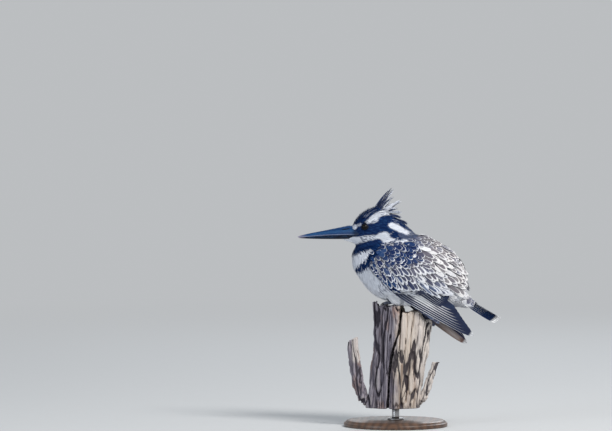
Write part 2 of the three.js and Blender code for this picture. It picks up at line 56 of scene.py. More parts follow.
print("nodes loaded:", len(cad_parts))

# %% [markdown]
# ## Small helpers
# A mesh is easiest to shape in Blender's own edit mode, and easiest to copy a
# thousand times as arrays of points. These helpers go between the two.

# %% Select, read and write meshes
def deselect():
    if bpy.context.mode != "OBJECT":
        bpy.ops.object.mode_set(mode="OBJECT")
    bpy.ops.object.select_all(action="DESELECT")


def take(*pieces):
    deselect()
    for piece in pieces:
        piece.select_set(True)
    bpy.context.view_layer.objects.active = pieces[0]
    return pieces[0]


def edit_all():
    """Opens the active piece in edit mode with all of it selected."""
    bpy.ops.object.mode_set(mode="EDIT")
    bpy.ops.mesh.select_all(action="SELECT")


def face_outwards():
    """Turns all faces of the active piece outwards and leaves edit mode."""
    edit_all()
    bpy.ops.mesh.normals_make_consistent(inside=False)
    bpy.ops.object.mode_set(mode="OBJECT")


def points_of(piece):
    """Its points in millimetres."""
    places = np.empty(len(piece.data.vertices) * 3)
    piece.data.vertices.foreach_get("co", places)
    return places.reshape(-1, 3) / MM


def move_points(piece, places):
    piece.data.vertices.foreach_set("co", (places * MM).ravel())
    piece.data.update()


def normals_of(piece):
    values = np.empty(len(piece.data.vertices) * 3)
    piece.data.vertices.foreach_get("normal", values)
    return values.reshape(-1, 3)


def modify(piece, kind, **settings):
    take(piece)
    modifier = piece.modifiers.new(kind.title(), kind)
    for setting, value in settings.items():
        setattr(modifier, setting, value)
    bpy.ops.object.modifier_apply(modifier=modifier.name)
    return piece


def unit(values):
    return values / np.maximum(np.linalg.norm(values, axis=-1, keepdims=True), 1e-9)


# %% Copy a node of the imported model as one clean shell
def node_copy(node, grow=0.0):
    piece = bpy.data.objects.new(node + "_copy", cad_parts[node].data.copy())
    bpy.context.scene.collection.objects.link(piece)
    take(piece)
    piece.data.materials.clear()
    bpy.ops.mesh.customdata_custom_splitnormals_clear()
    edit_all()
    bpy.ops.mesh.remove_doubles(threshold=0.002 * MM)
    bpy.ops.object.mode_set(mode="OBJECT")
    if grow:
        move_points(piece, points_of(piece) + grow * normals_of(piece))
    return piece


def melted(name, pieces, voxel, rounds):
    """The pieces joined into one even shell of small squares, smoothed a few rounds."""
    piece = take(*pieces)
    if len(pieces) > 1:
        bpy.ops.object.join()
    piece.name = piece.data.name = name
    modify(piece, "REMESH", mode="VOXEL", voxel_size=voxel * MM, use_smooth_shade=True)
    modify(piece, "SMOOTH", factor=0.5, iterations=rounds)
    return piece


def placed(piece, slot, finish, *nodes):
    """Hangs the piece under the root, hides the nodes it replaces and gives it its finish."""
    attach(piece, "root")
    if nodes:
        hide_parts(*nodes)
    piece.data.materials.clear()
    piece.data.materials.append(finish)
    triangles = sum(len(face.vertices) - 2 for face in piece.data.polygons)
    print(f"{piece.name}: {triangles} triangles")
    return piece


# %% [markdown]
# ## Writing materials as sums
# A material is a board of small nodes. `Tone` holds one value on its way to
# the shader, so that ordinary sums on it add the Math nodes, and `Finish`
# adds every other node with its settings first and its sockets after.

# %% The two classes that every finish uses
class Tone:
    def __init__(self, finish, socket):
        self.finish, self.socket = finish, socket

    def sum(self, operation, *others):
        inputs = dict(enumerate((self, *others)))
        return self.finish.node("ShaderNodeMath", {"operation": operation}, inputs)

    def __add__(self, other):
        return self.sum("ADD", other)

    def __sub__(self, other):
        return self.sum("SUBTRACT", other)

    def __mul__(self, other):
        return self.sum("MULTIPLY", other)

    def __truediv__(self, other):
        return self.sum("DIVIDE", other)

    def __pow__(self, other):
        return self.sum("POWER", other)

    def __rsub__(self, other):
        return (self * -1.0) + other

    def __abs__(self):
        return self.sum("ABSOLUTE")

    __radd__, __rmul__ = __add__, __mul__

    def step(self, low, high):
        """0 below low and 1 above high, with a soft change between."""
        settings = {"interpolation_type": "SMOOTHSTEP"}
        return self.finish.node("ShaderNodeMapRange", settings, {0: self, 1: low, 2: high})


class Finish:
    def __init__(self, name, **values):
        self.material = bpy.data.materials.new(name)
        self.material.use_nodes = True
        self.board = self.material.node_tree
        self.shader = self.board.nodes["Principled BSDF"]
        for socket, value in values.items():
            self.shader.inputs[socket.replace("_", " ")].default_value = value

    def node(self, kind, settings=None, inputs=None, out=0):
        made = self.board.nodes.new(kind)
        for setting, value in (settings or {}).items():
            if setting == "stops":
                self.ramp(made.color_ramp, value)
            else:
                setattr(made, setting, value)
        for socket, value in (inputs or {}).items():
            if isinstance(value, Tone):
                self.board.links.new(value.socket, made.inputs[socket])
            else:
                made.inputs[socket].default_value = value
        return Tone(self, made.outputs[out])

    @staticmethod
    def ramp(ramp, stops):
        while len(ramp.elements) < len(stops):
            ramp.elements.new(1.0)
        for element, (place, colour) in zip(ramp.elements, stops):
            element.position = place
            element.color = (*colour, 1.0)

    def place(self, scale=(1, 1, 1), turn=(0, 0, 0)):
        """The point on the object in metres, stretched by scale."""
        here = self.node("ShaderNodeTexCoord", out="Object")
        return self.node("ShaderNodeMapping", inputs={"Vector": here, "Rotation": turn, "Scale": scale})

    def grain(self, place, scale, detail=4.0, rough=0.55):
        inputs = {"Vector": place, "Scale": scale, "Detail": detail, "Roughness": rough}
        return self.node("ShaderNodeTexNoise", None, inputs, "Fac")

    def attribute(self, name, out="Fac"):
        """A value that the mesh keeps at each of its points."""
        return self.node("ShaderNodeAttribute", {"attribute_name": name}, None, out)

    def parts(self, vector):
        """A vector's or colour's three values."""
        split = self.board.nodes.new("ShaderNodeSeparateXYZ")
        self.board.links.new(vector.socket, split.inputs[0])
        return [Tone(self, socket) for socket in split.outputs]

    def mix(self, share, first, second):
        first, second = [c if isinstance(c, Tone) else (*c, 1.0) for c in (first, second)]
        inputs = {0: share, 6: first, 7: second}
        return self.node("ShaderNodeMix", {"data_type": "RGBA", "clamp_factor": True}, inputs, 2)

    def feed(self, **links):
        for socket, value in links.items():
            self.board.links.new(value.socket, self.shader.inputs[socket.replace("_", " ")])
        return self.material

    def bump(self, height, strength, depth):
        inputs = {"Height": height, "Strength": strength, "Distance": depth * MM}
        return self.node("ShaderNodeBump", None, inputs)


# %% [markdown]
# ## Camera, floor and light
# A long lens from well back, a little above the bird's level, as a bird is
# seen from a hide. The floor is pale and so is the sky behind it, a shade
# darker than the white feathers, so that the bird's pale breast still shows.
# A soft lamp stands high behind the tail, a weaker and cooler one in front,
# which keeps the breast in open shade, and a third lights the far side.

# %% Place the camera
LENS = 300.0
SENSOR = 36.0
VIEW_SIDE = math.radians(95.0)
VIEW_HEIGHT = math.radians(2.4)
FRAME_WIDTH = 661.0  # how much the view takes in at the bird
AIM = Vector((0.0, -97.2, 227.3))


def make_camera():
    view = bpy.data.cameras.new("camera")
    view.lens, view.sensor_width = LENS, SENSOR
    view.clip_end = 200.0
    camera = bpy.data.objects.new("camera", view)
    bpy.context.scene.collection.objects.link(camera)
    away = Vector((math.sin(VIEW_SIDE) * math.cos(VIEW_HEIGHT),
                   -math.cos(VIEW_SIDE) * math.cos(VIEW_HEIGHT), math.sin(VIEW_HEIGHT)))
    distance = FRAME_WIDTH * LENS / SENSOR
    camera.location = (AIM + away * distance) * MM
    camera.rotation_euler = (-away).to_track_quat("-Z", "Y").to_euler()
    bpy.context.scene.camera = camera
    print("camera stands", round(distance * MM, 2), "m away")


make_camera()

# %% Lay the floor and hang the lamps
FLOOR_COLOUR = (0.50, 0.515, 0.53)
FAR_COLOUR = FLOOR_COLOUR


def make_floor():
    """A wide pale disc, which the view sees as one with the sky from a little way off."""
    deselect()
    bpy.ops.mesh.primitive_circle_add(vertices=96, radius=80.0, fill_type="NGON")
    floor = bpy.context.object
    floor.name = "floor"
    finish = Finish("pale_floor", Roughness=0.9)
    speck = finish.grain(finish.place(), 60.0)
    colour = finish.mix(speck, FLOOR_COLOUR, [c * 1.04 for c in FLOOR_COLOUR])
    finish.feed(Base_Color=colour)
    away = finish.node("ShaderNodeVectorMath", {"operation": "LENGTH"}, {0: finish.place()}, "Value")
    straight, glossy, through = (finish.node("ShaderNodeLightPath", out=f"Is {kind} Ray")
                                 for kind in ("Camera", "Glossy", "Transmission"))
    seen = straight + glossy + through
    far = finish.node("ShaderNodeEmission", None, {"Color": (*FAR_COLOUR, 1.0)})
    near = Tone(finish, finish.shader.outputs[0])
    both = finish.node("ShaderNodeMixShader", None, {0: away.step(0.25, 2.4) * seen, 1: near, 2: far})
    finish.board.links.new(both.socket, finish.board.nodes["Material Output"].inputs["Surface"])
    floor.data.materials.append(finish.material)


def make_sky():
    """A plain sky: its light is even, and the view sees it as pale as the far floor."""
    world = bpy.data.worlds.new("studio")
    bpy.context.scene.world = world
    world.use_nodes = True
    board = world.node_tree
    light = board.nodes["Background"]
    light.inputs["Color"].default_value = (0.94, 0.97, 1.0, 1.0)
    light.inputs["Strength"].default_value = 0.42
    seen = board.nodes.new("ShaderNodeBackground")
    seen.inputs["Color"].default_value = (*FAR_COLOUR, 1.0)
    path = board.nodes.new("ShaderNodeLightPath")
    either = board.nodes.new("ShaderNodeMixShader")
    board.links.new(path.outputs["Is Camera Ray"], either.inputs[0])
    board.links.new(light.outputs[0], either.inputs[1])
    board.links.new(seen.outputs[0], either.inputs[2])
    board.links.new(either.outputs[0], board.nodes["World Output"].inputs["Surface"])


def make_lamp(name, place, aim, size, power, colour):
    light = bpy.data.lights.new(name, "AREA")
    light.shape, light.size, light.energy, light.color = "DISK", size, power, colour
    lamp = bpy.data.objects.new(name, light)
    bpy.context.scene.collection.objects.link(lamp)
    lamp.location = place
    lamp.rotation_euler = (Vector(aim) - Vector(place)).to_track_quat("-Z", "Y").to_euler()


make_floor()
make_sky()
make_lamp("key", (1.3, 1.3, 1.9), (0, 0, 0.17), 0.9, 62.0, (1.0, 0.97, 0.93))
make_lamp("fill", (1.6, -1.5, 0.8), (0, 0, 0.17), 1.4, 15.0, (0.86, 0.93, 1.0))
make_lamp("far side", (-1.9, 0.2, 1.3), (0, 0, 0.17), 1.4, 16.0, (0.92, 0.96, 1.0))
bpy.context.scene.view_settings.view_transform = "Standard"
print("studio ready")

# %% [markdown]
# ## The display stand
# A turned disc of dark wood with a softened rim carries one steel rod in a
# low collar. Both could be bevelled cylinders; here a disc is inset and
# extruded ring by ring, the way it would be cut on a lathe, so that the rim,
# the step and the collar are edges of one surface.

# %% Turn the base and the rod
def turned(name, rings, sides=96):
    """Rings of (radius, height) up the middle axis, joined into one closed piece."""
    deselect()
    radius, height = rings[0]
    bpy.ops.mesh.primitive_circle_add(vertices=sides, radius=radius * MM, fill_type="NGON",
                                      location=(0, 0, height * MM))
    piece = bpy.context.object
    piece.name = piece.data.name = name
    bpy.ops.object.transform_apply(location=True)
    edit_all()
    bpy.ops.mesh.flip_normals()
    for (radius, height), (wider, higher) in zip(rings, rings[1:]):
        bpy.ops.mesh.extrude_region_move(TRANSFORM_OT_translate={"value": (0, 0, (higher - height) * MM)})
        bpy.ops.transform.resize(value=(wider / radius, wider / radius, 1),
                                 center_override=(0, 0, higher * MM))
    face_outwards()
    bpy.ops.object.shade_smooth_by_angle(angle=math.radians(28))
    return piece


def base_wood():
    """Dark, close-grained wood under a satin varnish."""
    finish = Finish("stand_wood", Coat_Roughness=0.25)
    along = finish.place(scale=(1.0, 9.0, 9.0))
    wave = finish.node("ShaderNodeTexWave", {"wave_type": "RINGS", "rings_direction": "X"},
                       {"Vector": finish.place(scale=(0.15, 1.0, 1.0)), "Scale": 42.0, "Distortion": 5.0,
                        "Detail": 3.0, "Detail Scale": 1.4}, "Fac")
    pores = finish.grain(along, 260.0, 6.0)
    colour = finish.mix(wave, (0.050, 0.024, 0.014), (0.105, 0.052, 0.028))
    colour = finish.mix(pores.step(0.56, 0.72) * 0.6, colour, (0.022, 0.011, 0.007))
    gloss = 0.36 + pores * 0.16
    finish.shader.inputs["Coat Weight"].default_value = 0.35
    return finish.feed(Base_Color=colour, Roughness=gloss, Normal=finish.bump(pores, 0.25, 0.15))


def brushed_steel():
    finish = Finish("brushed_steel", Metallic=1.0)
    lines = finish.grain(finish.place(scale=(1, 1, 60.0)), 60.0, 5.0)
    colour = finish.mix(lines, (0.44, 0.44, 0.45), (0.62, 0.62, 0.63))
    return finish.feed(Base_Color=colour, Roughness=0.26 + lines * 0.16,
                       Normal=finish.bump(lines, 0.2, 0.05))


RIM = (  # how far in from the edge, and how high
    (1.0, 0.0), (0.2, 0.5), (0.0, 1.2), (0.0, 3.4), (0.3, 4.0), (1.6, 4.6), (2.4, 5.6), (3.2, 6.4))


def make_stand():
    _, high = [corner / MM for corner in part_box("stand_base")]
    wide, top = high.x, high.z
    rim = [(wide - inward, height) for inward, height in RIM]
    rim += [(wide - 4.6, top - 0.1), (wide - 6.4, top), (24.0, top), (9.0, top)]
    base = turned("stand_base_turned", rim)
    placed(base, "base", base_wood(), "stand_base")
    low, high = [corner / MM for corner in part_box("stand_rod")]
    collar = high.x
    rod = turned("stand_rod_turned", [
        (collar - 0.4, low.z), (collar, low.z + 0.3), (collar, low.z + 1.0), (collar - 0.6, low.z + 1.5),
        (6.0, low.z + 1.7), (4.6, low.z + 2.1), (4.0, low.z + 3.0), (4.0, high.z - 0.6), (3.7, high.z)], 48)
    placed(rod, "rod", brushed_steel(), "stand_rod")


make_stand()

# %% [markdown]
# ## The dead limb
# Weathered wood has lost its bark: grey long fibres stand up between grooves
# that run with the grain, the ends are splintered, and fresh tan wood shows
# where a slab has split away. The imported solids give the form. Melting each
# into small even squares gives enough surface for the fibres to be raised in
# the mesh, and each point keeps how deep it lies, so that the grooves can be
# painted dark as shade and the ridges painted lighter as highlight.

# %% Raise the fibres
# For each kind of ridge: how wide it is, how much longer than wide, and how high.
FIBRES = ((3.4, 14.0, 0.65), (1.6, 18.0, 0.38))
# The same for the cracks, with their depth, and last how open they are.
SPLITS = ((12.0, 6.0, 3.0, 0.085), (6.5, 9.0, 1.8, 0.10), (3.6, 12.0, 0.9, 0.11))


def grain_height(place, twist=0.06):
    """Fibres, cracks between slabs and eaten holes, all drawn out up the limb with a slight twist."""
    x, y, z = place
    x, y = x + z * twist, y - z * twist * 0.5
    wander = noise.noise(Vector((x / 20 + 3.1, y / 20, z / 34))) * 0.9
    total = noise.noise(Vector((x / 12, y / 12, z / 42))) * 1.6
    for width, stretch, height in FIBRES:
        spot = Vector((x / width + wander, y / width + width * 7, z / (width * stretch)))
        total += height * (0.6 - 2.2 * abs(noise.noise(spot)))
    for width, stretch, depth, opening in SPLITS:
        spot = Vector((x / width + wander, y / width + width * 3, z / (width * stretch)))
        total -= depth * math.exp(-(noise.noise(spot) / opening) ** 2)
    eaten = noise.noise(Vector((x / 4.6 + 9.0, y / 4.6, z / 17)))
    return total - 2.4 * min(max((eaten - 0.36) / 0.12, 0.0), 1.0)


def weathered(node, voxel):
    wood = melted(node.replace("perch", "dead"), [node_copy(node)], voxel, 1)
    places, normals = points_of(wood), normals_of(wood)
    height = np.array([grain_height(place) for place in places.tolist()])
    low = places[:, 2].min()
    sawn = np.clip((places[:, 2] - low - 0.4) / 3.0, 0.0, 1.0)  # the cut lower end stays flat
    limit = -3.2 if voxel > 0.6 else -1.3  # the two shoots are thin
    move_points(wood, places + normals * (np.clip(height + 0.3, limit, 0.9) * sawn)[:, None])
    # how deep each point lies, which the finish turns into painted shade in the grooves and painted highlight
    # on the ridges
    groove = wood.data.attributes.new("groove", "FLOAT", "POINT")
    groove.data.foreach_set("value", np.clip(0.36 - height * 0.33, 0.0, 1.0))
    return wood


def dead_wood():
    """Grey-brown outside, tan where the hind slab has split; painted shade darkens the grooves, painted
    highlight lightens the ridges, and painted sunlight pales the hind edge.
    """
    finish = Finish("dead_wood")
    spot = finish.place()
    groove = finish.attribute("groove")
    x, y, z = finish.parts(spot)
    fine = finish.grain(finish.place(scale=(1, 1, 0.045), turn=(0.03, -0.06, 0)), 900.0, 5.0, 0.65)
    streak = finish.grain(finish.place(scale=(1, 1, 0.08), turn=(0.03, -0.06, 0)), 190.0, 4.0)
    slab = finish.grain(finish.place(scale=(1, 1, 0.16), turn=(0.03, -0.06, 0)), 90.0, 3.0)
    cloud = finish.grain(spot, 38.0, 3.0)
    patch = finish.grain(finish.place(scale=(1, 1, 0.35)), 60.0, 3.0)
    split = (y + (cloud - 0.5) * 0.02).step(-0.004, 0.006)
    grey = finish.mix(streak.step(0.34, 0.62), (0.075, 0.066, 0.092), (0.270, 0.245, 0.285))
    tan = finish.mix(streak.step(0.34, 0.6), (0.215, 0.155, 0.118), (0.545, 0.470, 0.405))
    tan = finish.mix((slab + (fine - 0.5) * 0.3).step(0.54, 0.70) * 0.42, tan, (0.150, 0.112, 0.105))
    rust = finish.mix(fine, (0.20, 0.105, 0.07), (0.34, 0.20, 0.14))
    colour = finish.mix(split, grey, tan)
    colour = finish.mix(patch.step(0.58, 0.68) * 0.55, colour, rust)
    # painted sunlight: the hind edge of the wood is pale, less so on the slab's darker patches
    sunlit_hind_edge = (y + (cloud - 0.5) * 0.012).step(0.019, 0.026) * (1.0 - slab.step(0.54, 0.64) * 0.8)
    upper = (z + cloud * 0.02).step(0.076, 0.08)
    torn = (y + 0.0455 + z * 0.02).step(0.0, 0.001) * upper * (1.0 - y.step(-0.036, -0.034))
    # one pale colour paints both the sunlit hind edge and the real pale torn face at the front's top
    colour = finish.mix((sunlit_hind_edge + torn) * 0.8, colour, (0.61, 0.56, 0.53))
    # painted highlight: the ridges are lightened by how high they stand
    ridge = 1.0 - groove.step(0.12, 0.34)
    colour = finish.mix(ridge * 0.30, colour, (0.58, 0.54, 0.53))
    colour = finish.mix(fine.step(0.50, 0.70) * 0.45, colour, (0.06, 0.05, 0.055))
    # painted shade: the grooves are darkened by how deep they lie, more on the near side than on the far side
    deep = (groove + (fine - 0.5) * 0.45 + (streak - 0.5) * 0.35).step(0.54, 0.98)
    hidden = 0.60 + x.step(-0.020, -0.002) * 0.32  # the painted shade in the grooves is weaker on the far side
    colour = finish.mix(deep * hidden, colour, (0.018, 0.014, 0.024))
    relief = fine * 0.7 + streak * 0.6
    return finish.feed(Base_Color=colour, Roughness=0.72 + fine * 0.2, Normal=finish.bump(relief, 0.8, 0.6))


def make_limb():
    finish = dead_wood()
    for node, voxel in (("perch_limb", 0.66), ("perch_front_shoot", 0.5), ("perch_hind_shoot", 0.5)):
        placed(weathered(node, voxel), "perch_wood", finish, node)


make_limb()

# %% [markdown]
# ## One skin under the whole coat
# The head, neck, trunk and folded wings are separate solids with hair-thin
# cuts between them. Under the feathers a bird is one body, so copies of them
# are grown until they touch, melted into a single shell, smoothed, and drawn
# in by the depth of the coat: thin on the face and deeper from the neck back.

# %% Melt the body into one skin
FLESH = ("head", "neck", "trunk", "wing_left_coverts", "wing_right_coverts")
FACE_COAT, BODY_COAT = 0.8, 1.5


def smooth(share):
    share = np.clip(share, 0.0, 1.0)
    return share * share * (3 - 2 * share)


def coat_depth(places):
    """Thin on the face and head, full depth from the neck back."""
    back = smooth((places[:, 1] * 0.8 - places[:, 2] + 222.0) / 22.0)
    return FACE_COAT + (BODY_COAT - FACE_COAT) * back


skin = melted("skin", [node_copy(node, grow=0.3) for node in FLESH], voxel=0.85, rounds=7)
move_points(skin, points_of(skin) - normals_of(skin) * (coat_depth(points_of(skin)) + 0.3)[:, None])
modify(skin, "SMOOTH", factor=0.5, iterations=3)
print("skin squares:", len(skin.data.polygons))

# %% Ask the skin for its nearest point
SKIN_POINTS = points_of(skin)
CORNERS = np.array([face.vertices[:] for face in skin.data.polygons])
EDGES = np.array([edge.vertices[:] for edge in skin.data.edges])


def softened_normals(rounds=10):
    """The way out of each square, averaged with its neighbours' a few rounds over."""
    normals = normals_of(skin)
    for _ in range(rounds):
        total = normals.copy()
        np.add.at(total, EDGES[:, 0], normals[EDGES[:, 1]])
        np.add.at(total, EDGES[:, 1], normals[EDGES[:, 0]])
        normals = unit(total)
    return unit(normals[CORNERS].mean(1))


FACE_NORMALS = softened_normals()
FACE_MIDDLES = SKIN_POINTS[CORNERS].mean(1)
skin_tree = BVHTree.FromPolygons(SKIN_POINTS.tolist(), CORNERS.tolist())


def nearest(places):
    """The skin's nearest point to each place, the way out there and the square it lies on."""
    found = [skin_tree.find_nearest(place) for place in places.tolist()]
    faces = np.array([hit[2] for hit in found])
    return np.array([hit[0][:] for hit in found]), FACE_NORMALS[faces], faces


# %% [markdown]
# ## The markings
# A male pied kingfisher is black above with white edges to the feathers and
# white below, with two bands across the breast, a black cap and a black mask
# through the eye. Each mark is a line drawn on the bird's side, as places
# along it and up from the floor, with a half width and a tone, and later
# marks cover earlier ones. Skin and feathers both ask the same list, so that
# no pale skin shows between dark feathers.

# %% Draw the marks
MARKS = (  # (places on the side, half width, softness, tone from 0 white to 1 black)
    ([(-50, 220), (-38, 227), (-28, 232), (-14, 237)], 7.2, 1.0, 1.0),  # cap
    ([(-43, 211.5), (-31, 213), (-22, 213.4), (-13, 217)], 6.4, 1.0, 1.0),  # mask
    ([(-43, 217.5), (-34, 220)], 4.0, 1.0, 1.0),
    ([(-49, 207.5), (-36, 208.5)], 3.0, 0.8, 1.0),  # round the gape
    ([(-14, 222), (-4, 224), (7, 218.5), (18, 211.5)], 5.0, 1.2, 1.0),  # hind neck
    ([(-14, 213.5), (-7, 211.0), (-1, 208.2), (6, 206.2)], 4.7, 1.0, 1.0),  # below the neck patch
    ([(8, 208.0), (16, 206.0), (26, 205.0)], 4.2, 1.2, 0.9),
    ([(-29.8, 220.8), (-26, 223.0)], 1.4, 0.9, 0.0),  # front of the brow
    ([(-26.0, 223.2), (-22, 226.4), (-15, 230), (-8, 232)], 2.5, 0.9, 0.0),  # brow
    ([(-42.5, 216.6), (-37, 218.2)], 1.2, 0.8, 0.45),
    ([(-48.8, 213.8), (-47.2, 214.4), (-43.5, 215.4)], 2.5, 0.7, 0.0),  # spot before the eye
    ([(-4.0, 217.6), (0.5, 215.8), (6, 212.9)], 2.9, 0.9, 0.0),  # neck patch
    ([(6, 212.9), (13.2, 209.2)], 2.2, 0.9, 0.0),
    ([(-13.0, 205.5), (-10.0, 206.0)], 4.7, 1.0, 0.0),  # cheek
    ([(-46.5, 189.5), (-43, 191.0), (-35, 193.6), (-27, 196.2), (-18, 198)], 5.2, 1.2, 1.0),  # upper band
    ([(-41, 169.8), (-38, 171)], 2.8, 1.0, 1.0),
    ([(-36, 172), (-31, 175.5), (-27, 179.5), (-23, 186), (-19, 192)], 3.9, 1.1, 1.0),  # lower band
)


def off_line(spots, line):
    """How far each spot on the side lies from a line through the given places."""
    best = np.full(len(spots), np.inf)
    for start, end in zip(np.array(line[:-1], float), np.array(line[1:], float)):
        span = end - start
        share = np.clip((spots - start) @ span / (span @ span), 0.0, 1.0)
        best = np.minimum(best, np.linalg.norm(spots - start - share[:, None] * span, axis=1))
    return best


def stroke_share(spots, line, half, soft):
    """How far a soft-edged stroke along a line covers each spot."""
    return smooth((half - off_line(spots, line)) / soft * 0.5 + 0.5)


def ink_at(places):
    """How dark the markings are at each place, from 0 white to 1 black."""
    ink = np.zeros(len(places))
    for line, half, soft, tone in MARKS:
        share = stroke_share(places[:, 1:], line, half, soft)
        ink = ink * (1 - share) + tone * share
    return ink


def inside(spots, outline):
    """Which spots on the side lie inside an outline."""
    outline = np.array(outline, float)
    result = np.zeros(len(spots), bool)
    for (y0, z0), (y1, z1) in zip(outline, np.roll(outline, -1, axis=0)):
        across = (spots[:, 1] < z0) != (spots[:, 1] < z1)
        with np.errstate(divide="ignore", invalid="ignore"):
            edge = y0 + (spots[:, 1] - z0) / (z1 - z0) * (y1 - y0)
        result ^= across & (spots[:, 0] < edge)
    return result


# %% [markdown]
# ## The lie of the coat
# Feathers point away from the bill: up the forehead, back over the crown,
# down the breast and along the back. A few guides with a heading each are
# enough, and every other place takes the mean of its neighbours.

# %% Guide the feathers
GUIDES = (  # (y, z, heading along y, heading along z)
    (-50, 214, 0.7, 0.7), (-43, 222, 0.8, 0.6), (-33, 230, 0.93, 0.36), (-22, 235, 0.95, 0.3),
    (-12, 233, 0.93, 0.2), (-2, 227, 0.86, -0.5), (9, 219, 0.82, -0.57), (18, 212, 0.85, -0.5),
    (-46, 207, 1.0, 0.05), (-36, 204, 1.0, -0.15), (-30, 213, 1.0, 0.12), (-22, 224, 0.9, 0.4),
    (-22, 207, 1.0, -0.22), (-10, 207, 0.93, -0.36), (-8, 216, 0.93, -0.3), (4, 208, 0.88, -0.46),
    (-52, 200, 0.97, -0.25), (-42, 196, 0.75, -0.66), (-30, 193, 0.6, -0.8), (-47, 188, 0.12, -1.0),
    (-46, 175, 0.22, -1.0), (-38, 160, 0.42, -0.9), (-24, 148, 0.6, -0.8), (-8, 140, 0.8, -0.6),
    (10, 134, 0.92, -0.38), (40, 130, 0.95, -0.3), (70, 130, 0.93, -0.36), (-26, 178, 0.45, -0.9),
    (-18, 192, 0.7, -0.7), (0, 196, 0.8, -0.6), (24, 208, 0.9, -0.42), (44, 200, 0.88, -0.47),
    (62, 190, 0.8, -0.6), (73, 175, 0.7, -0.7), (76, 158, 0.72, -0.69), (86, 142, 0.86, -0.5),
    (20, 170, 0.7, -0.7), (45, 165, 0.82, -0.57),
)
GUIDE_REACH = 7.0  # how far round it a guide is felt


def lie_at(places):
    """The way that feathers point at each place, as its nearest guides say."""
    guides = np.array(GUIDES, float)
    apart = ((places[:, None, 1:] - guides[None, :, :2]) ** 2).sum(2)
    share = np.exp(-apart / (2 * GUIDE_REACH**2)) + 1e-9 / (apart + 1)
    heading = share @ unit(guides[:, 2:])
    return unit(np.column_stack([np.zeros(len(places)), heading]))


def along_skin(heading, normals):
    return unit(heading - normals * (heading * normals).sum(1, keepdims=True))


# %% [markdown]
# ## Feather patterns
# Each kind of feather is modelled once: a hair-fine tuft for the face, a soft
# pointed plume for the breast and belly, a rounded vane for the back and a
# long firm quill for the flight feathers; a broad cover for the wings and a
# thin strand for the crest follow with their tracts. Each starts as a flat
# ring of points at its root, is extruded along its length and scaled to its
# outline row by row, and its tip is drawn to a point. All are closed and thin.

# %% Model the feathers
def feather_pattern(name, sides, rows, tip=1.0):
    """Rows of (place along, half width, half thickness) in units, with the tip at 1."""
    deselect()
    _, wide, thick = rows[0]
    bpy.ops.mesh.primitive_circle_add(vertices=sides, radius=1.0, fill_type="NGON",
                                      rotation=(math.radians(90), 0, 0))
    piece = bpy.context.object
    bpy.ops.object.transform_apply(rotation=True)
    edit_all()
    bpy.ops.transform.resize(value=(wide, 1, thick), center_override=(0, 0, 0))
    for (along, wide, thick), (further, wider, thicker) in zip(rows, rows[1:] + [(tip, 0.05, 0.05)]):
        bpy.ops.mesh.extrude_region_move(TRANSFORM_OT_translate={"value": (0, further - along, 0)})
        bpy.ops.transform.resize(value=(wider / wide, 1, thicker / thick), center_override=(0, further, 0))
    bpy.ops.mesh.merge(type="CENTER")
    bpy.ops.mesh.select_all(action="SELECT")
    bpy.ops.mesh.normals_make_consistent(inside=False)
    bpy.ops.mesh.quads_convert_to_tris()
    bpy.ops.object.mode_set(mode="OBJECT")
    points = points_of(piece) * MM
    faces = np.array([face.vertices[:] for face in piece.data.polygons])
    bpy.data.objects.remove(piece)
    print(f"{name}: {len(points)} points, {len(faces)} triangles")
    return points, faces


TUFT = feather_pattern("tuft", 4, [(0.0, 0.5, 0.6), (0.35, 1.0, 1.0), (0.72, 0.72, 0.7)])
PLUME = feather_pattern("plume", 4, [(0.0, 0.35, 0.6), (0.3, 0.85, 1.0), (0.6, 1.0, 0.8), (0.85, 0.7, 0.5)])
VANE = feather_pattern("vane", 6, [(0.0, 0.3, 0.8), (0.25, 0.8, 1.0), (0.55, 1.0, 1.0), (0.8, 0.88, 0.8),
                                   (0.94, 0.5, 0.6)])
QUILL = feather_pattern("quill", 10, [
    (0.0, 0.18, 1.4), (0.06, 0.5, 1.3), (0.14, 0.85, 1.1), (0.25, 1.0, 1.0), (0.38, 1.0, 1.0),
    (0.5, 1.0, 1.0), (0.62, 0.99, 0.95), (0.73, 0.96, 0.9), (0.82, 0.9, 0.8), (0.89, 0.79, 0.7),
    (0.945, 0.62, 0.6), (0.98, 0.38, 0.5)])

# %% Bend feathers over the skin
STRIDES = 6  # how many steps a feather takes along the skin
BODY_RADIUS = 34.0  # the round that a feather's edges follow
THIN, FIRM = 0.06, 0.07  # half the thickness of soft and arced feathers, and of vanes on the skin


